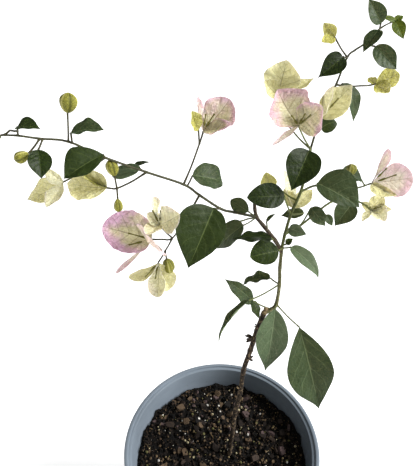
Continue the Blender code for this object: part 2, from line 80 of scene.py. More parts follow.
Item = bpy.types.Object
Tree = bpy.types.NodeTree
Node = bpy.types.Node
Array = np.ndarray

log = logging.getLogger("bougainvillea")


# ---------------------------------------------------------------- colours, nodes and small mesh tools


def linear(colour: str) -> tuple[float, float, float, float]:
    """Turn an sRGB hex colour such as "#a0b0c0" into linear red, green, blue and alpha.

    Args:
        colour: the sRGB colour, with its leading hash.

    Returns:
        The linear colour with an alpha of one.
    """
    parts = (int(colour[i:i + 2], 16) / 255.0 for i in (1, 3, 5))
    red, green, blue = (p / 12.92 if p <= 0.04045 else ((p + 0.055) / 1.055) ** 2.4 for p in parts)
    return red, green, blue, 1.0


def add_node(tree: Tree, kind: str, inputs: Union[dict, tuple] = (), **settings: Any) -> Node:
    """Add a shader node with its settings, socket values and links.

    Args:
        tree: the node tree to add to.
        kind: the node's type name without its "ShaderNode" prefix.
        inputs: what each open input gets, by name, or in order: a value, an sRGB colour, an output
            socket to link from, or a node to link from by its first open output.
        settings: attributes of the node itself.

    Returns:
        The new node.
    """
    node = tree.nodes.new("ShaderNode" + kind)
    for key, value in settings.items():
        setattr(node, key, value)
    sockets = [socket for socket in node.inputs if socket.enabled]
    if isinstance(inputs, dict):
        pairs = [(next(s for s in sockets if s.name == key), value) for key, value in inputs.items()]
    else:
        pairs = list(zip(sockets, inputs))
    for socket, value in pairs:
        if isinstance(value, Node):
            value = next(output for output in value.outputs if output.enabled)
        if isinstance(value, bpy.types.NodeSocket):
            tree.links.new(value, socket)
        else:
            socket.default_value = linear(value) if isinstance(value, str) else value
    return node


def direction(heading: float, slope: float) -> Vector:
    """Return the unit vector of a heading and a slope.

    Args:
        heading: compass turn from +X towards +Y, in degrees.
        slope: rise above the level, in degrees.

    Returns:
        The unit vector.
    """
    level = math.cos(math.radians(slope))
    return Vector((level * math.cos(math.radians(heading)), level * math.sin(math.radians(heading)),
                   math.sin(math.radians(slope))))


def deselect() -> None:
    """Leave object mode with nothing selected."""
    if bpy.context.object and bpy.context.object.mode != "OBJECT":
        bpy.ops.object.mode_set(mode="OBJECT")
    bpy.ops.object.select_all(action="DESELECT")


def pick(item: Item) -> None:
    """Select one object alone and make it the active one.

    Args:
        item: the object.
    """
    deselect()
    bpy.context.view_layer.objects.active = item
    item.select_set(True)


def edit_all() -> None:
    """Enter edit mode on the active object with its whole mesh selected."""
    bpy.ops.object.mode_set(mode="EDIT")
    bpy.ops.mesh.select_all(action="SELECT")


def face_outward() -> None:
    """Turn every face of the mesh in edit mode outward, and leave edit mode."""
    bpy.ops.mesh.select_all(action="SELECT")
    bpy.ops.mesh.normals_make_consistent(inside=False)
    bpy.ops.object.mode_set(mode="OBJECT")


def order_faces(item: Item) -> None:
    """Sort a mesh's faces by their points, as some modelling tools leave them in a chance order.

    Args:
        item: the object, in object mode.
    """
    mesh = bmesh.new()
    mesh.from_mesh(item.data)
    ordered = sorted(mesh.faces, key=lambda face: sorted(vert.index for vert in face.verts))
    for number, face in enumerate(ordered):
        face.index = number
    mesh.faces.sort()
    mesh.to_mesh(item.data)
    mesh.free()


def apply_modifier(item: Item, kind: str, **settings: Any) -> None:
    """Add a modifier to an object and apply it.

    Args:
        item: the object, which becomes the active one.
        kind: the modifier's type.
        settings: the modifier's own settings.
    """
    pick(item)
    modifier = item.modifiers.new(kind.lower(), kind)
    for key, value in settings.items():
        setattr(modifier, key, value)
    bpy.ops.object.modifier_apply(modifier=modifier.name)


def roughen(item: Item, grain: float, depth: float) -> None:
    """Push a mesh's surface in and out by a cloudy noise.

    Args:
        item: the object.
        grain: the noise's size in millimetres.
        depth: from its lowest to its highest, in millimetres.
    """
    texture = bpy.data.textures.new("relief", "CLOUDS")
    texture.noise_scale = grain * MM
    apply_modifier(item, "DISPLACE", texture=texture, texture_coords="LOCAL", strength=depth * MM,
                   mid_level=0.5)


def smooth(item: Item, angle: float = ROUND) -> None:
    """Shade an object smooth, but for edges that turn by more than an angle.

    Args:
        item: the object.
        angle: the sharpest turn that still looks smooth, in degrees.
    """
    pick(item)
    bpy.ops.object.shade_smooth_by_angle(angle=math.radians(angle))


def join(items: list[Item]) -> Item:
    """Join objects into the first of them.

    Args:
        items: the objects.

    Returns:
        The joined object.
    """
    pick(items[0])
    for item in items:
        item.select_set(True)
    bpy.ops.object.join()
    return bpy.context.object


def mesh_object(name: str, points: list[Array], faces: list, slots: list[int],
                materials: Iterable[bpy.types.Material]) -> Item:
    """Put many copies' points and faces into one new object.

    Args:
        name: its name.
        points: each copy's points in millimetres.
        faces: the point numbers of every face.
        slots: the number of every face's material.
        materials: the materials.

    Returns:
        The object.
    """
    mesh = bpy.data.meshes.new(name)
    mesh.from_pydata((np.concatenate(points) * MM).tolist(), [], faces)
    for material in materials:
        mesh.materials.append(material)
    mesh.polygons.foreach_set("material_index", np.array(slots, np.int32))
    mesh.update()
    item = bpy.data.objects.new(name, mesh)
    bpy.context.scene.collection.objects.link(item)
    return item


def settle(item: Item, name: str, material: Optional[bpy.types.Material],
           stands_for: Iterable[str] = ()) -> Item:
    """Name and dress a finished piece, put its place into its mesh and fix it to the plant's body.

    Args:
        item: the piece.
        name: the piece's name.
        material: its finish, or None where its mesh already has its own.
        stands_for: the construction nodes that it replaces.

    Returns:
        The piece.
    """
    item.name = item.data.name = name
    item.data.transform(item.matrix_world)
    item.matrix_world = Matrix.Identity(4)
    if material is not None:
        item.data.materials.clear()
        item.data.materials.append(material)
    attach(item, "root")
    nodes = list(stands_for)
    if nodes:
        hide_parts(*nodes)
    log.info("%s: %d faces", name, len(item.data.polygons))
    return item


# ---------------------------------------------------------------- finishes


def cloudy(places: Any, size: float, detail: float = 4.0) -> dict:
    """Return the inputs of a noise whose blotches have a real size.

    Args:
        places: the coordinates that it reads, in millimetres.
        size: the blotches' size in millimetres.
        detail: how many finer layers it has.

    Returns:
        The inputs by name.
    """
    return {"Vector": places, "Scale": 1.0 / size, "Detail": detail, "Roughness": 0.6}


def relief(height: Any, depth: float, strength: float) -> dict:
    """Return the inputs of a bump with a real depth.

    Args:
        height: the relief's height, from nought to one.
        depth: its depth in millimetres.
        strength: how strongly it shows.

    Returns:
        The inputs by name.
    """
    return {"Height": height, "Distance": depth * MM, "Strength": strength}


@dataclass(frozen=True)
class Finish:
    """A surface finish with one colour and a typical gloss.

    Attributes:
        name: the finish's plain name.
        colour: its main sRGB colour.
        roughness: how matt it is.
        ior: its index of refraction.
    """
    name: str
    colour: str
    roughness: float = 0.6
    ior: float = 1.45

    def material(self) -> bpy.types.Material:
        """Return the finish as a material, made once and then shared.

        Returns:
            The material.
        """
        found = bpy.data.materials.get(self.name)
        if found:
            return found
        made = bpy.data.materials.new(self.name)
        made.use_nodes = True
        shader = made.node_tree.nodes["Principled BSDF"]
        shader.inputs["Base Color"].default_value = linear(self.colour)
        shader.inputs["Roughness"].default_value = self.roughness
        shader.inputs["IOR"].default_value = self.ior
        for key, value in self.pattern(made.node_tree).items():
            if isinstance(value, Node):
                made.node_tree.links.new(next(o for o in value.outputs if o.enabled), shader.inputs[key])
            else:
                shader.inputs[key].default_value = value
        return made

    def pattern(self, tree: Tree) -> dict:
        """Return what the shader's inputs get beyond a plain finish, by name."""
        return {}

    def places(self, tree: Tree, finer: float = 1.0) -> Node:
        """Return the object's own coordinates in millimetres.

        Args:
            tree: the node tree.
            finer: how much finer a pattern is upwards than it is sideways.

        Returns:
            The node that gives them.
        """
        source = add_node(tree, "TexCoord").outputs["Object"]
        return add_node(tree, "Mapping", {"Vector": source, "Scale": (1 / MM, 1 / MM, finer / MM)})


@dataclass(frozen=True)
class MouldedPlastic(Finish):
    """Polypropylene, injection moulded: even and satin, with faint flow marks and a little dust.

    Attributes:
        flow: the flow marks' colour.
        dust: the colour that dried splashes of mix leave on it.
        dusty_from: the height where the dust is thickest, in millimetres.
        dusty_to: the height where it ends.
    """
    flow: str = "#88939e"
    dust: str = "#6d6a66"
    dusty_from: float = 122.0
    dusty_to: float = 136.0

    def pattern(self, tree: Tree) -> dict:
        """Add flow marks 26 mm long, fine grain, and dust low on the inner wall.

        Args:
            tree: the node tree.

        Returns:
            The shader's inputs by name.
        """
        node = partial(add_node, tree)
        places = self.places(tree)
        marks = node("TexNoise", cloudy(self.places(tree, 3.0), 26.0))
        marked = node("MapRange", (marks, 0.3, 0.75), **SOFT)
        plain = node("Mix", (marked, self.colour, self.flow), **COLOURS)
        specks = node("MapRange", (node("TexNoise", cloudy(places, 3.0, 6.0)), 0.60, 0.75), **SOFT)
        height = node("SeparateXYZ", (places,)).outputs["Z"]
        low = node("MapRange", (height, self.dusty_to, self.dusty_from), **SOFT)
        share = node("Math", (specks, low), operation="MULTIPLY")
        grain = node("TexNoise", cloudy(places, 0.7, 2.0))
        return {"Base Color": node("Mix", (share, plain, self.dust), **COLOURS),
                "Normal": node("Bump", relief(grain, 0.03, 0.5))}


@dataclass(frozen=True)
class PeatMix(Finish):
    """Moist bark and peat mix: nearly black crumbs with browner patches.

    Attributes:
        brown: the colour of the drier crumbs.
    """
    brown: str = "#3d2e22"

    def pattern(self, tree: Tree) -> dict:
        """Add crumbs of 2.2 mm and patches of 4 mm.

        Args:
            tree: the node tree.

        Returns:
            The shader's inputs by name.
        """
        node = partial(add_node, tree)
        places = self.places(tree)
        crumbs = node("TexVoronoi", {"Vector": places, "Scale": 1.0 / 2.2, "Randomness": 1.0})
        dry = node("MapRange", (node("TexNoise", cloudy(places, 4.0, 8.0)), 0.42, 0.68), **SOFT)
        return {"Base Color": node("Mix", (dry, self.colour, self.brown), **COLOURS),
                "Normal": node("Bump", relief(crumbs, 1.2, 0.9))}


@dataclass(frozen=True)
class Crumb(Finish):
    """A chip, grain or fibre of the mix, or cut wood: matt, with a grain of its own."""

    def pattern(self, tree: Tree) -> dict:
        """Add streaks of nearly a millimetre, darker than the rest.

        Args:
            tree: the node tree.

        Returns:
            The shader's inputs by name.
        """
        node = partial(add_node, tree)
        places = self.places(tree)
        darker = "#" + "".join(f"{int(int(self.colour[i:i + 2], 16) * 0.55):02x}" for i in (1, 3, 5))
        tone = node("MapRange", (node("TexNoise", cloudy(places, 0.9, 6.0)), 0.3, 0.7), **SOFT)
        grain = node("TexNoise", cloudy(places, 0.5))
        return {"Base Color": node("Mix", (tone, darker, self.colour), **COLOURS),
                "Normal": node("Bump", relief(grain, 0.15, 0.7))}


@dataclass(frozen=True)
class LightTable(Finish):
    """White acrylic lit from below: it shines evenly, which keeps hard shadows off the studio floor.

    Attributes:
        shine: how strongly it shines.
    """
    shine: float = 0.65

    def pattern(self, tree: Tree) -> dict:
        """Return the light's colour and strength."""
        return {"Emission Color": linear("#ffffff"), "Emission Strength": self.shine}


@dataclass(frozen=True)
class Bark(Finish):
    """Bark: a ground colour, paler or darker flecks and fissures along the stem.

    Attributes:
        fleck: the flecks' colour.
        shade: the colour in the fissures.
        grain: the fissures' width in millimetres.
        depth: the relief's depth in millimetres.
        flecked: the noise value past which a fleck shows.
    """
    fleck: str = "#6b563d"
    shade: str = "#1b140c"
    grain: float = 0.8
    depth: float = 0.35
    flecked: float = 0.56

    def pattern(self, tree: Tree) -> dict:
        """Add flecks of 2 mm and fissures stretched along the stem.

        Args:
            tree: the node tree.

        Returns:
            The shader's inputs by name.
        """
        node = partial(add_node, tree)
        fissures = node("TexNoise", cloudy(self.places(tree, 0.35), self.grain, 6.0))
        spots = node("TexNoise", cloudy(self.places(tree), 2.0, 5.0))
        flecks = node("MapRange", (spots, self.flecked, self.flecked + 0.14), **SOFT)
        raised = node("MapRange", (fissures, 0.40, 0.58), **SOFT)
        tone = node("Mix", (raised, self.shade, self.colour), **COLOURS)
        return {"Base Color": node("Mix", (flecks, tone, self.fleck), **COLOURS),
                "Normal": node("Bump", relief(fissures, self.depth, 0.8))}


@dataclass(frozen=True)
class BladeFinish(Finish):
    """A leaf or a bract: a ground colour, a tinted margin, and veins that branch off a midrib.

    Attributes:
        vein: the veins' colour.
        margin: the colour towards the tip and the edges.
        under: the underside's colour.
        reach: how far in from the edges the margin's colour runs, from 0 to 1.
        showing: how strongly the side veins show.
        net: how strongly the network between them shows.
        midrib: the midrib's half width as a share of the blade's.
        vein_depth: the veins' relief in millimetres.
        crumple: how deep its soft creases are, as a share of the veins' relief, and how strongly shade is
            painted into their hollows.
        coat: the waxy coat's weight.
        glow: how much light passes about inside it.
        sheen: how strongly its surface shines.
    """
    ior: float = 1.4
    vein: str = "#6f7a55"
    margin: str = "#39432b"
    under: str = "#6d7859"
    reach: float = 0.3
    showing: float = 0.2
    net: float = 0.1
    midrib: float = 0.035
    vein_depth: float = 0.25
    crumple: float = 0.6
    coat: float = 0.0
    glow: float = 0.0
    sheen: float = 0.12

    def pattern(self, tree: Tree) -> dict:
        """Add the margin, the veins, their network, the paler underside, shade painted into the creases and
        a fine relief.

        Args:
            tree: the node tree.

        Returns:
            The shader's inputs by name.
        """
        node = partial(add_node, tree)
        place = node("SeparateXYZ", (node("UVMap", uv_map=PATTERN_MAP),))
        below = node("Math", (place.outputs["X"], BACK - 0.5), operation="GREATER_THAN")
        reach = node("Math", (below, -BACK, place.outputs["X"]), operation="MULTIPLY_ADD")
        centred = node("Math", (reach, 2.0, -1.0), operation="MULTIPLY_ADD")
        across = node("Math", (centred,), operation="ABSOLUTE")
        along = place.outputs["Y"]
        spots = self.places(tree)
        # Blotches are 7 mm across, soft creases 5 mm, the cells of the net 3 mm and its fine grain 1.1 mm.
        blotch = node("TexNoise", cloudy(spots, 7.0, 3.0))
        creases = node("TexNoise", cloudy(spots, 5.0, 1.0))
        cells = node("TexVoronoi", {"Vector": spots, "Scale": 1.0 / 3.0}, feature="DISTANCE_TO_EDGE")
        veins = self.veins(tree, across, along, blotch, cells)
        front = self.ground(tree, across, along, spots)
        back = node("Math", (below, 0.75), operation="MULTIPLY")
        ground = node("Mix", (back, front, self.under), **COLOURS)
        # Each blade is as light as its own shade says and lighter again in its blotches; it is also painted
        # lighter on the crests of its creases and darker in their hollows, which is painted shade.
        shade = node("Attribute", attribute_name=SHADE, attribute_type="GEOMETRY").outputs["Fac"]
        light = node("MapRange", (blotch, 0.25, 0.8), **SOFT)
        value = node("Math", (light, 0.22, shade), operation="MULTIPLY_ADD")
        value = node("Math", (creases, 0.12 * self.crumple, value), operation="MULTIPLY_ADD")
        mottled_and_crease_shaded = node("HueSaturation", {"Value": value, "Color": ground})
        fine = node("TexNoise", cloudy(spots, 1.1, 2.0))
        height = node("Math", (veins, -0.8, fine), operation="MULTIPLY_ADD")
        height = node("Math", (creases, 4.0 * self.crumple, height), operation="MULTIPLY_ADD")
        height = node("Math", (cells, 1.6 * self.crumple, height), operation="MULTIPLY_ADD")
        return {"Base Color": node("Mix", (veins, mottled_and_crease_shaded, self.vein), **COLOURS),
                "Normal": node("Bump", relief(height, self.vein_depth, 0.8)),
                "Specular IOR Level": self.sheen, "Coat Weight": self.coat, "Coat Roughness": 0.3,
                "Subsurface Weight": self.glow, "Subsurface Scale": 1.5 * MM,
                "Subsurface Radius": (1.0, 0.95, 0.85)}

    def veins(self, tree: Tree, across: Any, along: Any, blotch: Any, cells: Any) -> Node:
        """Return how strongly a vein shows: a midrib, side veins off it and a net between them.

        Args:
            tree: the node tree.
            across: how far out from the midrib a place lies, from 0 to 1.
            along: how far along the blade it lies, from 0 to 1.
            blotch: the noise that makes the side veins wander.
            cells: the distance to the nearest edge of the net.

        Returns:
            The node that gives it.
        """
        node = partial(add_node, tree)
        # The side veins leave the midrib at even steps, bow towards the tip and fade at the edge.
        rise = node("Math", (across, VEIN_CURVE), operation="POWER")
        steps = node("Math", (along, VEIN_PAIRS), operation="MULTIPLY")
        bent = node("Math", (rise, -VEIN_BOW, steps), operation="MULTIPLY_ADD")
        wandering = node("Math", (blotch, 0.35, bent), operation="MULTIPLY_ADD")
        comb = node("Math", (wandering, 0.5), operation="PINGPONG")
        side_veins = node("MapRange", (comb, 0.075, 0.0), **SOFT)
        fade = node("MapRange", (across, 1.0, 0.6), **SOFT)
        faded = node("Math", (side_veins, fade), operation="MULTIPLY")
        faint = node("Math", (faded, self.showing), operation="MULTIPLY")
        mesh = node("MapRange", (cells, 0.11, 0.0), **SOFT)
        faint = node("Math", (mesh, self.net, faint), operation="MULTIPLY_ADD")
        taper = node("Math", (along, -self.midrib * 0.6, self.midrib), operation="MULTIPLY_ADD")
        centre = node("Math", (across, taper), operation="DIVIDE")
        midrib = node("MapRange", (centre, 1.4, 0.5), **SOFT)
        strong = node("Math", (midrib, 0.7), operation="MULTIPLY")
        return node("Math", (faint, strong), operation="MAXIMUM")

    def ground(self, tree: Tree, across: Any, along: Any, spots: Any) -> Node:
        """Return the colour under the veins, which turns to the margin's in patches near tip and edges.

        Args:
            tree: the node tree.
            across: how far out from the midrib a place lies, from 0 to 1.
            along: how far along the blade it lies, from 0 to 1.
            spots: the coordinates in millimetres.

        Returns:
            The node that gives it.
        """
        node = partial(add_node, tree)
        squared = node("Math", (across, 2.0), operation="POWER")
        outward = node("Math", (squared, 0.5), operation="MULTIPLY")
        tipward = node("Math", (along, 1.7), operation="POWER")
        edge = node("Math", (tipward, 0.75, outward), operation="MULTIPLY_ADD")
        patch = node("TexNoise", cloudy(spots, 11.0, 2.0))
        edge = node("Math", (patch, 1.1, edge), operation="MULTIPLY_ADD")
        start = 1.35 - 0.7 * self.reach
        tinted = node("MapRange", (edge, start, start + 0.6), **SOFT)
        return node("Mix", (tinted, self.colour, self.margin), **COLOURS)


@dataclass(frozen=True)
class LeafFinish(BladeFinish):
    """A leaf: firm and faintly waxy, with a slim midrib."""
    net: float = 0.05
    vein_depth: float = 0.3
    crumple: float = 0.7
    coat: float = 0.05
    glow: float = 0.4
    sheen: float = 0.2


@dataclass(frozen=True)
class BractFinish(BladeFinish):
    """A bract: thin, matt and crumpled as tissue paper, with a plain net of veins."""
    roughness: float = 0.70
    showing: float = 0.42
    net: float = 0.2
    midrib: float = 0.04
    vein_depth: float = 0.5
    crumple: float = 1.6
    glow: float = 0.9


@dataclass(frozen=True)
class BudFinish(BladeFinish):
    """A closed bloom: three papery bracts, painted paler along their folded midribs as light on the ridges
    and darker between them as shade in the grooves.
    """

    def pattern(self, tree: Tree) -> dict:
        """Add the paler ridges and the darker grooves between them, which are painted light and shade, and
        fine cross veins.

        Args:
            tree: the node tree.

        Returns:
            The shader's inputs by name.
        """
        node = partial(add_node, tree)
        place = node("SeparateXYZ", (node("UVMap", uv_map=PATTERN_MAP),))
        thirds = node("Math", (place.outputs["X"], 3.0), operation="MULTIPLY")
        turns = node("Math", (thirds, 0.5), operation="PINGPONG")
        spots = self.places(tree)
        cells = node("TexVoronoi", {"Vector": spots, "Scale": 1.0 / 1.6}, feature="DISTANCE_TO_EDGE")
        mesh = node("MapRange", (cells, 0.16, 0.0), **SOFT)
        painted_groove_shade = node("MapRange", (turns, 0.16, 0.0), **SOFT)
        ridge = node("MapRange", (turns, 0.40, 0.48), **SOFT)
        patches = node("TexNoise", cloudy(spots, 3.0))
        ground = node("Mix", (patches, self.colour, self.margin), **COLOURS)
        # The grooves take the vein colour as painted shade, and the ridges take the underside's colour as
        # painted light.
        for mask, strength, colour in ((mesh, self.net, self.vein), (painted_groove_shade, 0.85, self.vein),
                                       (ridge, 0.8, self.under)):
            share = node("Math", (mask, strength), operation="MULTIPLY")
            ground = node("Mix", (share, ground, colour), **COLOURS)
        flat = node("Math", (1.0, mesh), operation="SUBTRACT")
        return {"Base Color": ground, "Normal": node("Bump", relief(flat, self.vein_depth, 0.5))}


class Tint(Enum):
    """The finishes of the leaves and bracts, by what each looks like."""
    DARK_LEAF = LeafFinish("leaf_dark_green", "#243113", 0.50, vein="#5a6a3a", margin="#1d290d",
                           under="#48562c")
    DEEP_LEAF = LeafFinish("leaf_deep_green", "#1a260b", 0.48, vein="#46562c", margin="#162208",
                           under="#3a4822", showing=0.18, net=0.04)
    GREY_LEAF = LeafFinish("leaf_grey_green", "#4f5f44", 0.54, vein="#84936f", margin="#425238",
                           under="#6d7a58", showing=0.26, net=0.06)
    YOUNG_LEAF = LeafFinish("leaf_young_green", "#4a5b14", 0.50, vein="#7c8a34", margin="#3d4e10",
                            under="#68782e")
    # A lighter copy of the dark leaf green for leaves turned away from the key light: painted light that
    # lifts their shade.
    MID_LEAF = LeafFinish("leaf_mid_green", "#37462a", 0.52, vein="#6e7e54", margin="#2a381d",
                          under="#56653c", showing=0.26)
    PINK_BRACT = BractFinish("bract_pink", "#bcb594", vein="#6e6546", margin="#cba4b0", under="#b0a592",
                             reach=0.85, crumple=1.8, glow=0.8)
    LILAC_BRACT = BractFinish("bract_lilac", "#b4ad8c", vein="#6c6248", margin="#c298b2", under="#ac9c96",
                              reach=0.95, net=0.18, vein_depth=0.6, crumple=2.4, glow=0.7)
    ROSE_BRACT = BractFinish("bract_rose", "#d8c8b6", vein="#968068", margin="#dab2bc", under="#c8b4a6",
                             reach=0.9, net=0.24, vein_depth=0.45, crumple=1.4)
    CREAM_BRACT = BractFinish("bract_cream", "#d9d3aa", vein="#80764a", margin="#dccbb6", under="#c6be92",
                              reach=0.5, net=0.22)
    GREEN_BRACT = BractFinish("bract_green", "#c8c291", vein="#6c6838", margin="#cdc49c", under="#b4ad78",
                              reach=0.4, midrib=0.035)
    YELLOW_BRACT = BractFinish("bract_yellow", "#a8a45b", 0.66, vein="#5e5e22", margin="#bcb878",
                               under="#9a984a", reach=0.5, showing=0.55, net=0.32, midrib=0.045,
                               vein_depth=0.45, crumple=1.4, glow=0.8)


# The old bark's many pale tan flecks are partly its own flecks and partly painted highlights, standing in
# for light on the trunk.
OLD_BARK = Bark("bark_old", "#43362a", 0.88, 1.45, "#8a765a", "#150f0a", 0.8, 0.35, 0.52)
FORK_BARK = Bark("bark_fork", "#5c4e3c", 0.82, 1.5, "#83705a", "#31261a", 0.7, 0.2)
GREEN_BARK = Bark("bark_green", "#77754f", 0.62, 1.45, "#a09a68", "#54522b", 0.6, 0.12, 0.56)
OLIVE_BARK = Bark("bark_olive", "#5e6531", 0.62, 1.45, "#7c8148", "#3c411d", 0.5, 0.10, 0.56)
TIP_BARK = Bark("bark_tip", "#494a29", 0.62, 1.45, "#6c683c", "#2d2b17", 0.5, 0.10, 0.60)
STALK_SKIN = Bark("stalk_green", "#6c7538", 0.60, 1.45, "#878f50", "#4c5226", 0.5, 0.06, 0.60)
BROWN_STALK = Bark("stalk_brown", "#4b4829", 0.60, 1.45, "#6b663c", "#2e2b18", 0.5, 0.06, 0.60)
TUBE_SKIN = Bark("flower_tube", "#807c34", 0.60, 1.45, "#a09a54", "#5a5824", 0.5, 0.06, 0.58)
# Its dark vein colour also paints shade in the bud's grooves, and its pale underside colour paints light on
# its ridges.
BUD_SKIN = BudFinish("bud_yellow_green", "#858331", 0.6, 1.38, "#4a4c12", "#9c983c", "#d0ca7c", net=0.6)
CUT_WOOD = Crumb("cut_wood", "#b49a72", 0.8)
POT_PLASTIC = MouldedPlastic("polypropylene_blue_grey", "#7f8a95", 0.42, 1.49)
DARK_MIX = PeatMix("peat_and_bark_mix", "#050403", 0.95, 1.35, "#1b140f")


# ---------------------------------------------------------------- the plant's description


@dataclass(frozen=True)
class Stretch:
    """One straight stretch of a stem or a stalk: its length, heading and slope."""
    length: float
    heading: float
    slope: float


@dataclass(frozen=True)
class Limb:
    """One tapering stem that leaves its parent at a numbered node and runs on from there."""
    name: str
    parent: str
    node: float
    base_width: float
    tip_width: float
    finish: Bark
    stretches: tuple[Stretch, ...]


@dataclass(frozen=True)
class Blade:
    """One leaf or bract: its size, the way that it points and how it is bent.

    Attributes:
        tint: its finish.
        length: from its root to its tip, straight.
        width: across its broadest place.
        heading: the way that its midrib points.
        slope: how steeply its midrib rises.
        roll: its turn about the midrib.
        belly: the share of its length where it is broadest.
        curl: how far it arches along its length; below nought its tip turns up.
        fold: how far each half is lifted from the midrib.
        cup: how far its edges bend further up, as a share of its width.
        ripple: how far its edges wave, as a share of its width.
        sweep: how far its midrib bows sideways, as a share of its length.
        hook: how far its tip bends down beyond its curl, in degrees.
        point: how drawn out its tip is, from 0, blunt, to 1.
        base: how drawn out its base is, from 0, blunt, to 1; below nought for what is usual.
        lean: how much further the half on its left is folded up, in degrees.
        bias: how much broader the half on its right is, as a share.
    """
    tint: Tint
    length: float
    width: float
    heading: float
    slope: float
    roll: float = 0.0
    belly: float = 0.38
    curl: float = 24.0
    fold: float = 16.0
    cup: float = 0.0
    ripple: float = 0.02
    sweep: float = 0.0
    hook: float = 0.0
    point: float = 0.6
    base: float = -1.0
    lean: float = 0.0
    bias: float = 0.0


@dataclass(frozen=True)
class Bud:
    """One bloom that is still closed: its size and the way that it points."""
    length: float
    width: float
    heading: float
    slope: float


@dataclass(frozen=True)
class FlowerTube:
    """One slender flower in a bloom: its length, the way that it points, and how far out it starts."""
    length: float
    heading: float
    slope: float
    start: float = 3.0


@dataclass(frozen=True)
class Sprig:
    """A stalk off a limb's node with its blades, and side stalks that fork off after its first stretch."""
    node_name: str
    parent: str
    node: float
    path: tuple[Stretch, ...]
    blades: tuple[Any, ...]
    forks: tuple["Sprig", ...] = ()


def leaf(tint: Tint, length: float, width: float, heading: float, slope: float, roll: float = 0.0,
         belly: float = 0.38, **shape: float) -> Blade:
    """Return a leaf: folded a little at its midrib, with its tip bent down."""
    return Blade(tint, length, width, heading, slope, roll, belly, **({"curl": 24.0, "fold": 14.0} | shape))


def bract(tint: Tint, length: float, width: float, heading: float, slope: float, roll: float = 0.0,
          belly: float = 0.45, **shape: float) -> Blade:
    """Return a papery bract: cupped, with waved edges and its tip turned up."""
    usual = {"curl": -30.0, "fold": 18.0, "cup": 0.10, "ripple": 0.05}
    return Blade(tint, length, width, heading, slope, roll, belly, **(usual | shape))


def fork(path: tuple[Stretch, ...], blades: tuple[Any, ...], forks: tuple[Sprig, ...] = ()) -> Sprig:
    """Return a side stalk, which needs no name or parent of its own."""
    return Sprig("", "", 0, path, blades, forks)


dark_leaf, deep_leaf, grey_leaf, young_leaf, shade_lifted_leaf = (
    partial(leaf, tint) for tint in (Tint.DARK_LEAF, Tint.DEEP_LEAF, Tint.GREY_LEAF, Tint.YOUNG_LEAF,
                                     Tint.MID_LEAF))
pink_bract, lilac_bract, rose_bract, cream_bract, green_bract, yellow_bract = (
    partial(bract, tint) for tint in (Tint.PINK_BRACT, Tint.LILAC_BRACT, Tint.ROSE_BRACT, Tint.CREAM_BRACT,
                                      Tint.GREEN_BRACT, Tint.YELLOW_BRACT))

# The lists below give each stretch as S(length, heading, slope), and each blade as its length, width,
# heading, slope, roll and belly, with whatever else sets it apart.
S = Stretch
LIMBS = (
    Limb("trunk", "", 0, 3.4, 3.8, OLD_BARK, (
        S(24, 68, 78), S(20, 74, 69), S(18, 55, 71), S(19, 72, 70), S(18, 51, 65), S(16, 51, 65),
        S(15, 47, 63))),
    Limb("green_stem", "trunk", 7, 2.9, 2.5, GREEN_BARK, (
        S(6, 26, 15), S(6, 25, 41), S(16, 71, 74), S(12.5, 91, 67), S(14.5, 81, 66))),
    Limb("brown_fork", "green_stem", 4.8, 3.0, 2.2, FORK_BARK, (
        S(9.3, 144, 53), S(15, 157, 47), S(7, 155, 48), S(6, 116, 59), S(6, 95, 60))),
    Limb("left_bough", "brown_fork", 3, 2.0, 1.1, TIP_BARK, (
        S(19, -160, 24), S(10, -167, 24), S(19, -167, 41), S(14, -163, 43), S(25, -167, 27),
        S(26, -167, 28), S(22, -168, 32), S(15, -164, 14), S(11, -164, 16), S(8, -174, 5))),
    Limb("upright_bough", "green_stem", 5, 2.3, 1.8, OLIVE_BARK, (
        S(10, 65, 65), S(15, 55, 66), S(17, 44, 60), S(15, 62, 67), S(14, 67, 63))),
    Limb("top_bough", "upright_bough", 5, 1.6, 1.0, TIP_BARK, (
        S(14, 55, 64), S(15, 48, 58), S(15, 45, 56), S(18, 48, 58), S(7, 30, 33),
        S(8, 24, 26), S(13, 28, 36), S(10, 26, 20))),
    Limb("right_shoot", "upright_bough", 1, 1.6, 1.2, STALK_SKIN, (
        S(13, 20, 23), S(27, 21, 32), S(19, 25, -10), S(14, 10, -28))),
    Limb("right_twig", "upright_bough", 3, 1.6, 1.1, OLIVE_BARK, (
        S(13, 23, 8), S(21, 24, -19), S(14, 9, -4), S(9, 0, 21))),
)

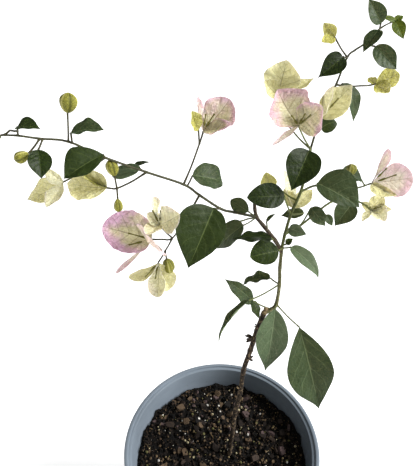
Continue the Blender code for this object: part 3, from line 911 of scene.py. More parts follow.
LEAVES = (
    Sprig("left_leaf_1", "left_bough", 9, (S(6, -40, 70),), (
        dark_leaf(13, 11, -11, -1, -8, 0.22, base=0.35, bias=-0.3),)),
    Sprig("left_leaf_2", "left_bough", 6.9, (S(7.7, -66, 70),), (
        shade_lifted_leaf(20, 14, -12, 10, -8, bias=-0.3, ripple=0.05),)),
    Sprig("left_leaf_3", "left_bough", 7.9, (S(6.7, -112, -40),), (
        deep_leaf(16.5, 13, -76, -41, 15, 0.45),)),
    Sprig("left_leaf_4", "left_bough", 6, (S(4, -96, 50),), (
        dark_leaf(26, 18.5, -141, -15, 30, 0.5, bias=0.28, base=0.8),)),
    Sprig("left_leaf_5", "left_bough", 5, (S(5, 146, 8),), (
        grey_leaf(23, 15, 158, -16, 20, bias=-0.5),), (
        fork((S(5, 130, 0),), (dark_leaf(13, 6, 53, -11, 5),)),)),
    Sprig("left_leaf_6", "left_bough", 2, (S(8, -132, 28),), (dark_leaf(42, 33, -123, -44, 30, bias=0.19),)),
    Sprig("left_leaf_7", "left_bough", 3.8, (S(8, 34, 56),), (
        shade_lifted_leaf(25, 18, 22, -24, -40, 0.46, bias=-0.12, hook=35, ripple=0.06),)),
    Sprig("centre_leaf_1", "upright_bough", 5, (S(4, -114, 6),), (
        deep_leaf(30, 24, -123, -39, 20, fold=18),)),
    Sprig("centre_leaf_2", "upright_bough", 2, (S(18, -155, 66),), (
        deep_leaf(26, 18, -167, 5, 45, 0.45, point=0.1),)),
    Sprig("centre_leaf_3", "brown_fork", 3, (S(8, 133, 5),), (
        shade_lifted_leaf(15, 11, 150, 20, 50, 0.5, point=0.1, ripple=0.05),)),
    Sprig("centre_leaf_4", "brown_fork", 3, (S(17, 135, -48),), (shade_lifted_leaf(31, 20, 168, -52, 30),)),
    Sprig("centre_leaf_5", "brown_fork", 1, (S(6.6, -153, 46),), (
        deep_leaf(27, 17, -169, 4, -5, bias=-0.35, ripple=0.06),)),
    Sprig("centre_leaf_6", "green_stem", 5, (S(7.3, -120, 18),), (
        dark_leaf(21, 18, -161, 0, 40, 0.52, point=0.0, bias=0.05, cup=0.08),)),
    Sprig("centre_leaf_7", "green_stem", 5, (S(7, -24, 23),), (
        grey_leaf(30, 13, -37, -31, -10, hook=40, point=1.0, curl=34),)),
    Sprig("centre_leaf_8", "upright_bough", 1, (S(11, -78, 57),), (
        grey_leaf(13, 9, -38, 3, -50, ripple=0.04),)),
    Sprig("centre_leaf_9", "upright_bough", 2, (S(13, 33, -16),), (
        shade_lifted_leaf(17, 9, 158, -21, 30, ripple=0.06),)),
    Sprig("centre_leaf_10", "green_stem", 3, (S(8, 156, 26),), (
        shade_lifted_leaf(24, 9, 162, -28, 10, bias=0.4, ripple=0.16, hook=30),)),
    Sprig("centre_leaf_11", "green_stem", 3, (S(26.7, -149, -6),), (
        shade_lifted_leaf(36.5, 10, -144, -39, -35, fold=32, ripple=0.06, hook=20),)),
    Sprig("centre_leaf_12", "green_stem", 1.1, (S(15.7, 176, 28),), (
        shade_lifted_leaf(27, 13, 169, 40, 25, bias=-0.2, ripple=0.08),
        dark_leaf(13.5, 9, -58, -49, 15, bias=0.25, ripple=0.06))),
    Sprig("centre_leaf_13", "green_stem", 2, (S(8, -104, 15),), (
        grey_leaf(48, 24, -107, -64, 20, 0.43, base=0.85, point=1.0, lean=6),)),
    Sprig("centre_leaf_14", "green_stem", 2, (S(23, -44, -21),), (
        shade_lifted_leaf(65, 35, -60, -60, -24, 0.48, base=1.1, bias=0.06, point=0.9, fold=20, ripple=0.03),)),
    Sprig("right_leaf_1", "top_bough", 4, (S(6, -133, 14),), (
        deep_leaf(21, 14, -154, -31, 50, cup=0.12, point=1.0),)),
    Sprig("right_leaf_2", "top_bough", 2.5, (S(12.8, 43, 25),), (
        shade_lifted_leaf(26, 15, -51, -59, 0, sweep=-0.12),)),
    Sprig("right_leaf_3", "top_bough", 1, (S(3, -37, 12),), (
        dark_leaf(12, 12, 11, 13, -50, sweep=-0.12, hook=40),)),
    Sprig("right_leaf_4", "top_bough", 7, (S(3.3, 74, 65),), (shade_lifted_leaf(17, 12.5, 156, 53, 55, fold=20),)),
    Sprig("right_leaf_5", "top_bough", 7, (S(4, -117, 0),), (shade_lifted_leaf(18, 11, -137, -38, 0, bias=-0.12),)),
    Sprig("right_leaf_6", "top_bough", 6, (S(7, -38, -8),), (
        shade_lifted_leaf(20, 15, -30, -37, -50, 0.44, bias=0.15, fold=24),)),
    Sprig("right_leaf_7", "top_bough", 8, (S(2, 10, 12),), (
        young_leaf(7.5, 5, 31, 18, -20), young_leaf(9.6, 4, 180, 16, 50),
        young_leaf(13, 9, -52, -47, -35))),
    Sprig("right_leaf_8", "right_twig", 1, (S(5, -106, 45),), (
        shade_lifted_leaf(32, 25, -29, -18, -35, 0.42, bias=-0.35),)),
    Sprig("right_leaf_9", "right_twig", 2, (S(13, 73, 48),), (grey_leaf(16, 13, -12, -22, -40),)),
    Sprig("right_leaf_10", "right_shoot", 3, (S(2.8, -103, -46),), (
        shade_lifted_leaf(20, 16, -146, -44, 30, cup=0.08),)),
    Sprig("right_leaf_11", "right_shoot", 1, (S(14.6, 13, 67),), (
        shade_lifted_leaf(16, 11, -30, -43, -50, ripple=0.08),), (
        fork((S(12, -5, -25),), (shade_lifted_leaf(9, 6, -35, -50, -35),)),)),
)

BLOOMS = (
    Sprig("left_bloom_1", "left_bough", 7, (S(15.6, 74, 74),), (Bud(10.6, 9, 48, 75),)),
    Sprig("left_bloom_2", "left_bough", 8, (S(10, -137, -38),), (Bud(8, 6.2, -150, -14),)),
    Sprig("left_bloom_3", "left_bough", 6, (S(27, 153, -34), S(11, -145, -17)), (
        cream_bract(14, 8, -172, 48, 55, point=0.5, bias=-0.45),
        green_bract(33, 16, 167, -30, 50, point=1.0),
        cream_bract(20.5, 10.5, -109, -18, 10, 0.52, point=0.3, base=1.2))),
    Sprig("left_bloom_4", "left_bough", 5, (S(21, -171, -27), S(6, -170, 9)), (
        green_bract(30, 22, 157, -6, 35, 0.42, bias=-0.12, base=0.4, point=0.5),
        yellow_bract(23, 9, 141, 8, -5, bias=-0.2)), (fork((S(9.7, -90, 79),), (Bud(10, 7, 136, 73),)),
        fork((S(6.3, -84, -59),), (Bud(8.3, 5.2, -91, -76),)))),
    Sprig("left_bloom_5", "left_bough", 3, (S(35, -159, -56), S(14, -164, 7)), (
        lilac_bract(33, 29, 175, 15, 50, 0.48, base=0.3, point=0.0, ripple=0.11, bias=0.06),
        rose_bract(34, 3.6, -161, -40, 40, 0.75, point=0.0),
        rose_bract(30, 27, -80, 35, 55, fold=8, cup=0.04, curl=-45),
        FlowerTube(13, -175, 22), FlowerTube(9, -158, -1, 6.5)), (
        fork((S(19, -131, 57),), (
            cream_bract(18.5, 7.5, 118, 67, -20, 0.8, base=1.2, point=0.0),
            cream_bract(16, 12, -118, 9, 0, point=0.3),
            cream_bract(11, 10, 165, 45, 25, point=0.2),
            cream_bract(18, 19, -20, 38, -60, 0.55, point=0.2),
            FlowerTube(8, 153, 65), FlowerTube(7, 72, 76))),
        fork((S(10, -140, -50), S(10, -158, -57)), (
            green_bract(22.6, 9, -165, -23, 30, 0.62, point=0.1, bias=-0.1, sweep=-0.12),
            green_bract(30, 15, 39, -73, -85, 0.62, point=0.0),
            cream_bract(24, 14, -95, -60, -15, 0.66, point=0.0, base=0.8),
            FlowerTube(11, -127, -17), FlowerTube(9, -97, -27)), (
            fork((S(10.5, 87, -71),), (Bud(13, 8, 50, -78),)),)))),
    Sprig("left_bloom_6", "left_bough", 4, (S(28, 22, 67), S(8, 22, 71)), (
        rose_bract(20, 11, 122, 73, -35),
        pink_bract(24, 23, 29, 42, -35, 0.58, bias=0.15, point=0.1),
        pink_bract(20, 12, -30, 24, -30),
        FlowerTube(7, 62, 72), FlowerTube(9, 19, 55)), (
        fork((S(11, -96, 68),), (yellow_bract(14, 10, -132, 68, 85),)),)),
    Sprig("centre_bloom_1", "upright_bough", 2.6, (S(13, 150, 20), S(8, 152, -7)), (
        yellow_bract(12, 12, 129, 65, 40, 0.38, point=0.3),)),
    Sprig("centre_bloom_2", "upright_bough", 5, (S(20, 137, 29), S(19, 171, 49), S(8, 0, 75)), (
        green_bract(22, 25, 43, 74, -35, 0.5, point=0.5),
        green_bract(17, 12, -146, 43, 80, point=0.3),
        green_bract(28, 13, 24, 16, -10, point=0.9))),
    Sprig("centre_bloom_3", "upright_bough", 5, (S(23, -152, 56),), (
        pink_bract(26, 35, 152, 52, 35, 0.52, bias=-0.15, base=0.5, point=0.5, fold=22),
        rose_bract(25, 7, -139, -15, -15),
        pink_bract(20, 24, -27, 48, -70, 0.5, bias=0.2, base=0.5, point=0.2),
        FlowerTube(9, -145, 50, 2), FlowerTube(9, -62, 62, 2), FlowerTube(9.5, -35, 50, 2))),
    Sprig("centre_bloom_4", "upright_bough", 2, (S(6, 62, 17),), (
        cream_bract(28, 12, 108, 46, -30), green_bract(21, 12, 44, 19, -15),
        green_bract(15, 11, 131, 45, 10))),
    Sprig("right_bloom_1", "top_bough", 1, (S(8, -35, 77),), (
        green_bract(27, 19, 13, 48, -55, point=0.8, base=0.55),
        cream_bract(23, 13, -45, 76, -55), FlowerTube(8, 3, 54, 8))),
    Sprig("right_bloom_2", "top_bough", 4, (S(15, 155, 49),), (
        yellow_bract(12, 9, -177, 45, 90), yellow_bract(13, 8, -141, -3, 40))),
    Sprig("right_bloom_3", "top_bough", 3, (S(19, 15, -7), S(10, 11, 3)), (
        yellow_bract(17, 14, 10, 20, -55, 0.55, point=0.3),
        yellow_bract(12, 12, -54, -11, -35, point=0.2),
        yellow_bract(7, 7, 125, 20, 20, point=0.3))),
    Sprig("right_bloom_4", "right_twig", 2, (S(12, 0, 58),), (Bud(8, 7, 87, 76),)),
    Sprig("right_bloom_5", "right_twig", 4, (S(1, 0, 21),), (
        rose_bract(26.5, 7.5, 28, 69, -20, 0.74, base=0.8, point=0.0, bias=0.4),
        rose_bract(28, 25, -7, 13, -60, 0.6, point=0.0),
        green_bract(19.5, 10, -38, -8, -40, 0.4, bias=0.5, base=0.4),
        FlowerTube(13, -22, 34, 5), FlowerTube(9, -8, 58, 6))),
    Sprig("right_bloom_6", "right_shoot", 4, (S(5, 0, -46),), (
        green_bract(14, 12, 33, 37, -30, point=0.2),
        green_bract(15, 9, -6, 7, -40, point=1.0),
        cream_bract(12, 6, -134, -23, -5),
        cream_bract(14.5, 12, -58, -5, -20, point=0.2, bias=-0.3),
        green_bract(10, 7, 177, 39, 50, point=0.2), FlowerTube(6, -17, 33, 2),
        FlowerTube(4, 120, 60, 1))),
)

# Growth too slight for a construction solid of its own.
EXTRAS = (
    Sprig("left_tip", "left_bough", 10, (S(1, -160, 0),), (young_leaf(7, 5, -137, -31, 20),)),
    Sprig("left_loop", "left_bough", 9.9, (S(4.4, 12, 32), S(4.1, -13, 0)), ()),
    Sprig("centre_shoot", "brown_fork", 1.6, (S(7, 110, 66),), (dark_leaf(8, 4, 10, 45, 0),)),
    Sprig("centre_spur", "brown_fork", 3, (S(6.8, -164, -4), S(5.4, -162, -8)), ()),
    Sprig("centre_scale", "upright_bough", 0.2, (S(3, -10, 30),), (dark_leaf(6, 5, 10, 45, -30),)),
    Sprig("right_scale", "right_twig", 3.6, (S(4.7, 150, 49),), (grey_leaf(6, 5, -170, 22, 30),)),
)


@dataclass(frozen=True)
class Knob:
    """One stub or scaly knot on the trunk: where it stands, how it points, and its size and finish."""
    node: float
    heading: float
    slope: float
    length: float
    width: float
    finish: Finish
    scales: int = 1


KNOBS = (
    Knob(5.62, 180, 10, 5.2, 3.6, OLD_BARK, 5), Knob(4.62, 0, -10, 3.2, 2.6, OLD_BARK, 4),
    Knob(2.5, 10, 45, 3.6, 2.0, CUT_WOOD), Knob(3.16, 190, 40, 2.6, 1.6, CUT_WOOD),
    Knob(6.25, 170, 20, 2.4, 2.2, OLD_BARK, 2), Knob(7.0, 40, 55, 3.4, 3.9, CUT_WOOD),
    Knob(1.4, 200, 35, 2.2, 2.0, OLD_BARK, 2),
)


# ---------------------------------------------------------------- stems


@dataclass
class Skeleton:
    """The centre lines of the limbs, which the stalks hang on.

    Attributes:
        foot: where the trunk leaves the potting mix, from the pot's axis.
        mix_top: the height of the potting mix under the trunk.
        paths: each limb's nodes, by its name.
    """
    foot: tuple[float, float] = (7.0, 1.5)
    mix_top: float = 122.0
    paths: dict[str, list[Vector]] = field(default_factory=dict)

    def walk(self, start: Vector, stretches: Iterable[Stretch]) -> list[Vector]:
        """Follow a path's stretches from a point.

        Args:
            start: where the path starts.
            stretches: its stretches in order.

        Returns:
            The start and the end of every stretch.
        """
        points = [start.copy()]
        for part in stretches:
            points.append(points[-1] + direction(part.heading, part.slope) * part.length)
        return points

    def trace(self) -> None:
        """Work out every limb's nodes, in order from the trunk."""
        for limb in LIMBS:
            if limb.parent:
                start = self.spot(limb.parent, limb.node)
            else:
                start = Vector((*self.foot, self.mix_top))
            self.paths[limb.name] = self.walk(start, limb.stretches)

    def spot(self, name: str, node: float) -> Vector:
        """Find the point of a limb at a node number.

        Args:
            name: the limb's name.
            node: the number, which may lie between two nodes.

        Returns:
            The point in millimetres.
        """
        points = self.paths[name]
        low = min(int(node), len(points) - 2)
        return points[low].lerp(points[low + 1], node - low)


def rounded(points: list[Vector], spacing: float) -> tuple[list[Vector], list[float]]:
    """Return a smooth line through points, and where along the points each of its own points lies.

    Args:
        points: the points to pass through.
        spacing: about how far apart the line's own points lie.

    Returns:
        The line's points, and for each the number of the given point that it lies at.
    """
    line, where = [], []
    ends = [2 * points[0] - points[1]] + points + [2 * points[-1] - points[-2]]
    for i in range(len(points) - 1):
        a, b, c, d = ends[i:i + 4]
        steps = max(2, round((c - b).length / spacing))
        for k in range(steps):
            t = k / steps
            line.append(0.5 * (2 * b + (c - a) * t + (2 * a - 5 * b + 4 * c - d) * t ** 2
                               + (3 * b - a - 3 * c + d) * t ** 3))
            where.append(i + t)
    line.append(points[-1].copy())
    where.append(float(len(points) - 1))
    return line, where


def tube(points: list[Vector], widths: list[float], sides: int) -> Item:
    """Model a round tube along a line and turn it into a closed mesh.

    Args:
        points: the line's points in millimetres.
        widths: the tube's width at each of them.
        sides: how many sides it has, a multiple of four.

    Returns:
        The tube, which lies in place.
    """
    deselect()
    bpy.ops.curve.primitive_nurbs_path_add(location=(0, 0, 0))
    item = bpy.context.object
    item.data.splines.clear()
    spline = item.data.splines.new("POLY")
    spline.points.add(len(points) - 1)
    for knot, point, width in zip(spline.points, points, widths):
        knot.co = (*(point * MM), 1.0)
        knot.radius = width
    item.data.bevel_depth = MM / 2
    item.data.bevel_resolution = sides // 4 - 1
    item.data.use_fill_caps = True
    item.data.twist_mode = "MINIMUM"
    bpy.ops.object.convert(target="MESH")
    item = bpy.context.object
    edit_all()
    bpy.ops.mesh.remove_doubles(threshold=1e-7)
    face_outward()
    for layer in list(item.data.uv_layers):
        item.data.uv_layers.remove(layer)
    return item


@dataclass
class WoodyLimbs:
    """The trunk and the boughs, with their root flare, swollen nodes, leaf scars and bark relief.

    Attributes:
        skeleton: the limbs' centre lines.
        flare: how much broader the trunk's foot is.
        flare_height: how far up the flare reaches.
        node_swell: how much broader a stem is at a node.
        node_reach: how far along the stem a node's swelling reaches.
        thick: the width past which a stem has coarser bark and more sides.
        bark_grain: the size of the relief of a slim and of a thick stem.
        bark_depth: the relief's depth on a slim stem, a thick stem and the trunk.
        scale_swing: how far a knot's scales point sideways from its middle, in degrees.
        scale_rise: how far they point up or down from it.
        scale_turn: the turn from one scale's way to the next, in radians.
        scale_width: a scale's width as a share of its knot's.
        rooted: how deep a knot or a stub is rooted in the trunk.
    """
    skeleton: Skeleton
    flare: float = 1.2
    flare_height: float = 7.0
    node_swell: float = 0.16
    node_reach: float = 1.6
    thick: float = 2.6
    bark_grain: tuple[float, float] = (1.6, 2.4)
    bark_depth: tuple[float, float, float] = (0.18, 0.35, 0.55)
    scale_swing: float = 28.0
    scale_rise: float = 26.0
    scale_turn: float = 2.4
    scale_width: float = 0.55
    rooted: float = 1.6

    def build(self) -> None:
        """Build every limb as a piece of its own, then the trunk's knots and stubs."""
        for limb in LIMBS:
            item = self.stem(limb)
            smooth(item)
            settle(item, f"{limb.name}_bark", limb.finish.material(), [limb.name])
        for number, knob in enumerate(KNOBS, 1):
            item = self.knob(knob, number)
            smooth(item)
            settle(item, f"trunk_knob_{number}", knob.finish.material())

    def knob(self, knob: Knob, number: int) -> Item:
        """Return one knot or stub, made of short rough scales side by side.

        Args:
            knob: its description.
            number: its number, which picks how its scales stand.

        Returns:
            The knob, in place.
        """
        start = self.skeleton.spot("trunk", knob.node)
        single = knob.scales == 1
        steps = 4                               # how many steps its line has
        parts = []
        for scale in range(knob.scales):
            turn = self.scale_turn * scale + number
            swing = 0.0 if single else self.scale_swing * math.sin(turn)
            rise = 0.0 if single else self.scale_rise * math.cos(turn)
            way = direction(knob.heading + swing, knob.slope + rise)
            reach = knob.length * (1.0 if single else 0.75 + 0.08 * scale) + self.rooted
            line, where = rounded([start + way * (reach * k / steps) for k in range(steps + 1)], 0.5)
            width = knob.width if single else knob.width * self.scale_width
            widths = [width * (1.0 - 0.35 * (w / steps) ** 3 + 0.12 * math.sin(2.2 * w + scale))
                      for w in where]
            parts.append(tube(line, widths, 12))
        item = join(parts)
        roughen(item, 1.1, 0.7)
        return item

    def stem(self, limb: Limb) -> Item:
        """Return one limb's mesh.

        Args:
            limb: the limb's description.

        Returns:
            The tapered stem with its relief.
        """
        nodes = self.skeleton.paths[limb.name]
        line, where = rounded(nodes, 1.1)
        count = len(nodes) - 1
        widths = []
        for point, place in zip(line, where):
            width = limb.base_width + (limb.tip_width - limb.base_width) * place / count
            gap = min((point - node).length for node in nodes[1:])
            width *= 1.0 + self.node_swell * math.exp(-(gap / self.node_reach) ** 2)
            if not limb.parent:
                height = max(0.0, 1.0 - (point.z - nodes[0].z) / self.flare_height)
                width *= 1.0 + (self.flare - 1.0) * height ** 1.5
            widths.append(width)
        thick = limb.base_width > self.thick
        item = tube(line, widths, 16 if thick else 12)
        roughen(item, self.bark_grain[thick], self.bark_depth[thick if limb.parent else 2])
        return item


# ---------------------------------------------------------------- blades


@dataclass
class BladeBlank:
    """A flat, closed blank one unit wide each side and one unit long, which every blade is bent from.

    Attributes:
        columns: its faces across.
        rows: its faces along.
        places: its points.
        faces: the point numbers of its faces.
        pattern_uv: its corners in the pattern's map.
        bake_uv: its corners in the bake's map.
    """
    columns: int
    rows: int
    places: Array = field(default=None, repr=False)
    faces: list = field(default_factory=list, repr=False)
    pattern_uv: Array = field(default=None, repr=False)
    bake_uv: Array = field(default=None, repr=False)

    def model(self) -> None:
        """Model the blank from a grid, and lay its two faces side by side in the bake's map."""
        deselect()
        bpy.ops.mesh.primitive_grid_add(x_subdivisions=self.columns, y_subdivisions=self.rows, size=2.0)
        item = bpy.context.object
        flat_faces = len(item.data.polygons)
        apply_modifier(item, "SOLIDIFY", thickness=0.2, offset=0.0)
        mesh = item.data
        co = np.zeros(len(mesh.vertices) * 3, np.float32)
        mesh.vertices.foreach_get("co", co)
        self.places = co.reshape(-1, 3).astype(float)
        self.faces = [tuple(face.vertices) for face in mesh.polygons]
        bpy.data.objects.remove(item, do_unlink=True)
        corners = np.array([i for face in self.faces for i in face])
        owner = np.repeat(np.arange(len(self.faces)), [len(face) for face in self.faces])
        spot = self.places[corners]
        self.pattern_uv = (spot[:, :2] + 1) / 2
        # The front lies on the left of its cell and the back on the right. A rim face is given some width.
        inner = (owner >= 2 * flat_faces) & (spot[:, 2] < 0)
        inset = np.where(inner[:, None], 0.5 + (self.pattern_uv - 0.5) * 0.93, self.pattern_uv)
        is_back = np.zeros(len(self.faces), bool)
        for number, face in enumerate(self.faces[:2 * flat_faces]):
            is_back[number] = self.places[face[0]][2] < 0
        self.bake_uv = inset * (0.48, 0.97) + (0.01, 0.015)
        self.bake_uv[:, 0] += 0.5 * is_back[owner]
        self.pattern_uv[:, 0] += BACK * is_back[owner]


def is_leaf(blade: Blade) -> bool:
    """Return whether a blade is a leaf and not a bract."""
    return blade.tint.name.endswith("LEAF")


def half_width(blade: Blade, share: Array) -> Array:
    """Return half a blade's width at shares of its length.

    The outline is a sine wave whose top is moved to the blade's belly. Raised to a power above one it is
    drawn out, and below one it is blunt; the power runs from one value at the base to another at the tip.

    Args:
        blade: the blade.
        share: shares of its length, from 0 at its root to 1 at its tip.

    Returns:
        Half its width at each, in millimetres.
    """
    swell = np.clip(np.sin(math.pi * np.clip(share, 0, 1) ** (math.log(0.5) / math.log(blade.belly))), 0, 1)
    if is_leaf(blade):
        at_base, at_tip = 0.60, 0.62 + 0.75 * blade.point
    else:
        at_base, at_tip = 0.72, 0.48 + 0.55 * blade.point
    at_base = blade.base if blade.base > 0 else at_base
    towards_tip = share ** 2 * (3 - 2 * share)
    least = 0.3 - 0.2 * share
    return np.maximum(blade.width / 2 * swell ** (at_base + (at_tip - at_base) * towards_tip), least)


def blade_frame(blade: Blade) -> tuple[Vector, Vector, Vector]:
    """Find the three directions that a blade is bent in.

    Args:
        blade: the blade.

    Returns:
        The unit vectors along its midrib, to its right and to its upper side.
    """
    along = direction(blade.heading, blade.slope)
    level_side = along.cross(UP).normalized()
    turn = math.radians(blade.roll)
    side = level_side * math.cos(turn) + level_side.cross(along) * math.sin(turn)
    return along, side, side.cross(along)


def midrib_line(blade: Blade, share: Array) -> tuple[Array, Array, Array]:
    """Bend a blade's midrib into an arch of its length, with its tip hooked down.

    Args:
        blade: the blade.
        share: places along it, from 0 to 1.

    Returns:
        How far forward and how far up each place lies, in millimetres, and its lean in radians.
    """
    hook_from, count = 0.6, 160
    bend = math.radians(blade.curl) or 1e-6
    steps = np.linspace(0, 1, count + 1)
    hooked = np.clip((steps - hook_from) / (1 - hook_from), 0, 1) ** 1.5
    angle = bend * (0.5 - steps) - math.radians(blade.hook) * hooked
    stride = blade.length * bend / (2 * math.sin(bend / 2)) / count
    forward = np.interp(share, steps, np.concatenate([[0], np.cumsum(np.cos(angle[1:]) * stride)]))
    rise = np.interp(share, steps, np.concatenate([[0], np.cumsum(np.sin(angle[1:]) * stride)]))
    return forward, rise, np.interp(share, steps, angle)


def blade_surface(blade: Blade, root: Vector, across: Array, share: Array, phase: float) -> Array:
    """Bend a flat blank into a blade.

    Args:
        blade: the blade's sizes and bends.
        root: where its midrib starts.
        across: places across it, from -1 to 1.
        share: places along it, from 0 to 1.
        phase: where the waves of its edges start, from 0 to 1.

    Returns:
        The points, in millimetres.
    """
    along, side, up = (np.array(v) for v in blade_frame(blade))
    forward, rise, lean = midrib_line(blade, share)
    scallop_depth, quilt_depth = (0.012, 0.03) if is_leaf(blade) else (0.035, 0.034)
    blunt = 0.05 * blade.width                  # how far the crease at the midrib is rounded
    out = np.abs(across)
    half = half_width(blade, share) * (1 + blade.bias * np.sign(across))
    # The blade is quilted between its side veins, scalloped where they end, and waved along its edges, all
    # of which dies away at its root and tip.
    comb = VEIN_PAIRS * share - VEIN_BOW * out ** VEIN_CURVE + 0.2 * np.sin(5 * share + 7 * phase)
    quilt = 1 - np.abs((comb % 1.0) - 0.5) * 2
    calm = np.sin(math.pi * np.clip(share, 0, 1)) ** 0.7
    reach = half * across * (1 + scallop_depth * (quilt - 0.5) * calm * out ** 3)
    fold = np.radians(blade.fold + np.where(across < 0, blade.lean, 0.0))
    lifted = (np.sqrt(reach ** 2 + blunt ** 2) - blunt) * np.sin(fold)
    lifted += blade.cup * blade.width * (across ** 2) * (half / (blade.width / 2)) ** 1.2
    wave = np.sin(2 * math.pi * (2.3 * share + phase + 0.31 * np.sign(across)))
    lifted += blade.ripple * blade.width * out ** 2.5 * wave * calm
    lifted += quilt_depth * blade.width * quilt * np.sin(math.pi * out ** 0.8) * calm
    sideways = reach * np.cos(fold) + blade.sweep * blade.length * 4 * share * (1 - share)
    normal = np.outer(np.cos(lean), up) - np.outer(np.sin(lean), along)
    return (np.array(root) + np.outer(forward, along) + np.outer(rise, up)
            + normal * lifted[:, None] + np.outer(sideways, side))


@dataclass
class BladeSet:
    """Many blades joined into one piece, each bent from the same blank.

    Attributes:
        name: the piece's name.
        blank: the blank.
        thickness: the blades' thickness in millimetres.
        slot: a material slot's name, which is not used.
        shades: how dark and how light a blade may be beside the others.
        blades: the blades, each with the place of its root.
        nodes: the construction nodes that the piece replaces.
    """
    name: str
    blank: BladeBlank
    thickness: float
    slot: str
    shades: tuple[float, float] = (0.82, 1.06)
    blades: list[tuple[Blade, Vector]] = field(default_factory=list)
    nodes: list[str] = field(default_factory=list)

    def build(self, rng: random.Random) -> Item:
        """Bend every blade, join them and dress the piece.

        Args:
            rng: the source of chance.

        Returns:
            The joined piece.
        """
        blank = self.blank
        across, outward = blank.places[:, 0], np.sign(blank.places[:, 2])
        # The rows lie closer together towards the root and the tip, where the outline turns fastest.
        even = (blank.places[:, 1] + 1) / 2
        share = 0.45 * even + 0.55 * 0.5 * (1 - np.cos(math.pi * even))
        tints = sorted({blade.tint.name for blade, _ in self.blades})
        cells = math.ceil(math.sqrt(len(self.blades)))
        points, faces, pattern, bake, slots = [], [], [], [], []
        for number, (blade, root) in enumerate(self.blades):
            points.append(self.shell(blade, root, across, share, outward, rng.random()))
            faces.extend(tuple(i + number * len(across) for i in face) for face in blank.faces)
            pattern.append(blank.pattern_uv)
            bake.append((blank.bake_uv + (number % cells, number // cells)) / cells)
            slots.extend([tints.index(blade.tint.name)] * len(blank.faces))
        item = mesh_object(self.name, points, faces, slots, [Tint[tint].value.material() for tint in tints])
        for map_name, values in ((PATTERN_MAP, pattern), (BAKE_MAP, bake)):
            layer = item.data.uv_layers.new(name=map_name)
            layer.data.foreach_set("uv", np.concatenate(values).astype(np.float32).ravel())
        shades = [rng.uniform(*self.shades) for _ in self.blades]
        item.data.attributes.new(SHADE, "FLOAT", "POINT").data.foreach_set(
            "value", np.repeat(shades, len(across)))
        smooth(item)
        return settle(item, self.name, None, self.nodes)

    def shell(self, blade: Blade, root: Vector, across: Array, share: Array, outward: Array,
              phase: float) -> Array:
        """Bend one blade and give it its thickness.

        Args:
            blade: the blade.
            root: where its midrib starts.
            across: the blank's places across, from -1 to 1.
            share: the blank's places along, from 0 to 1.
            outward: 1 on the blank's upper face and -1 on its lower one.
            phase: where the waves of its edges start, from 0 to 1.

        Returns:
            The points, in millimetres.
        """
        step = 1e-3
        middle = blade_surface(blade, root, across, share, phase)
        to_side = blade_surface(blade, root, across + step, share, phase) - middle
        to_tip = blade_surface(blade, root, across, share + step, phase) - middle
        normal = np.cross(to_side, to_tip)
        normal /= np.linalg.norm(normal, axis=1)[:, None] + 1e-12
        return middle + normal * (outward * self.thickness / 2)[:, None]


# ---------------------------------------------------------------- foliage


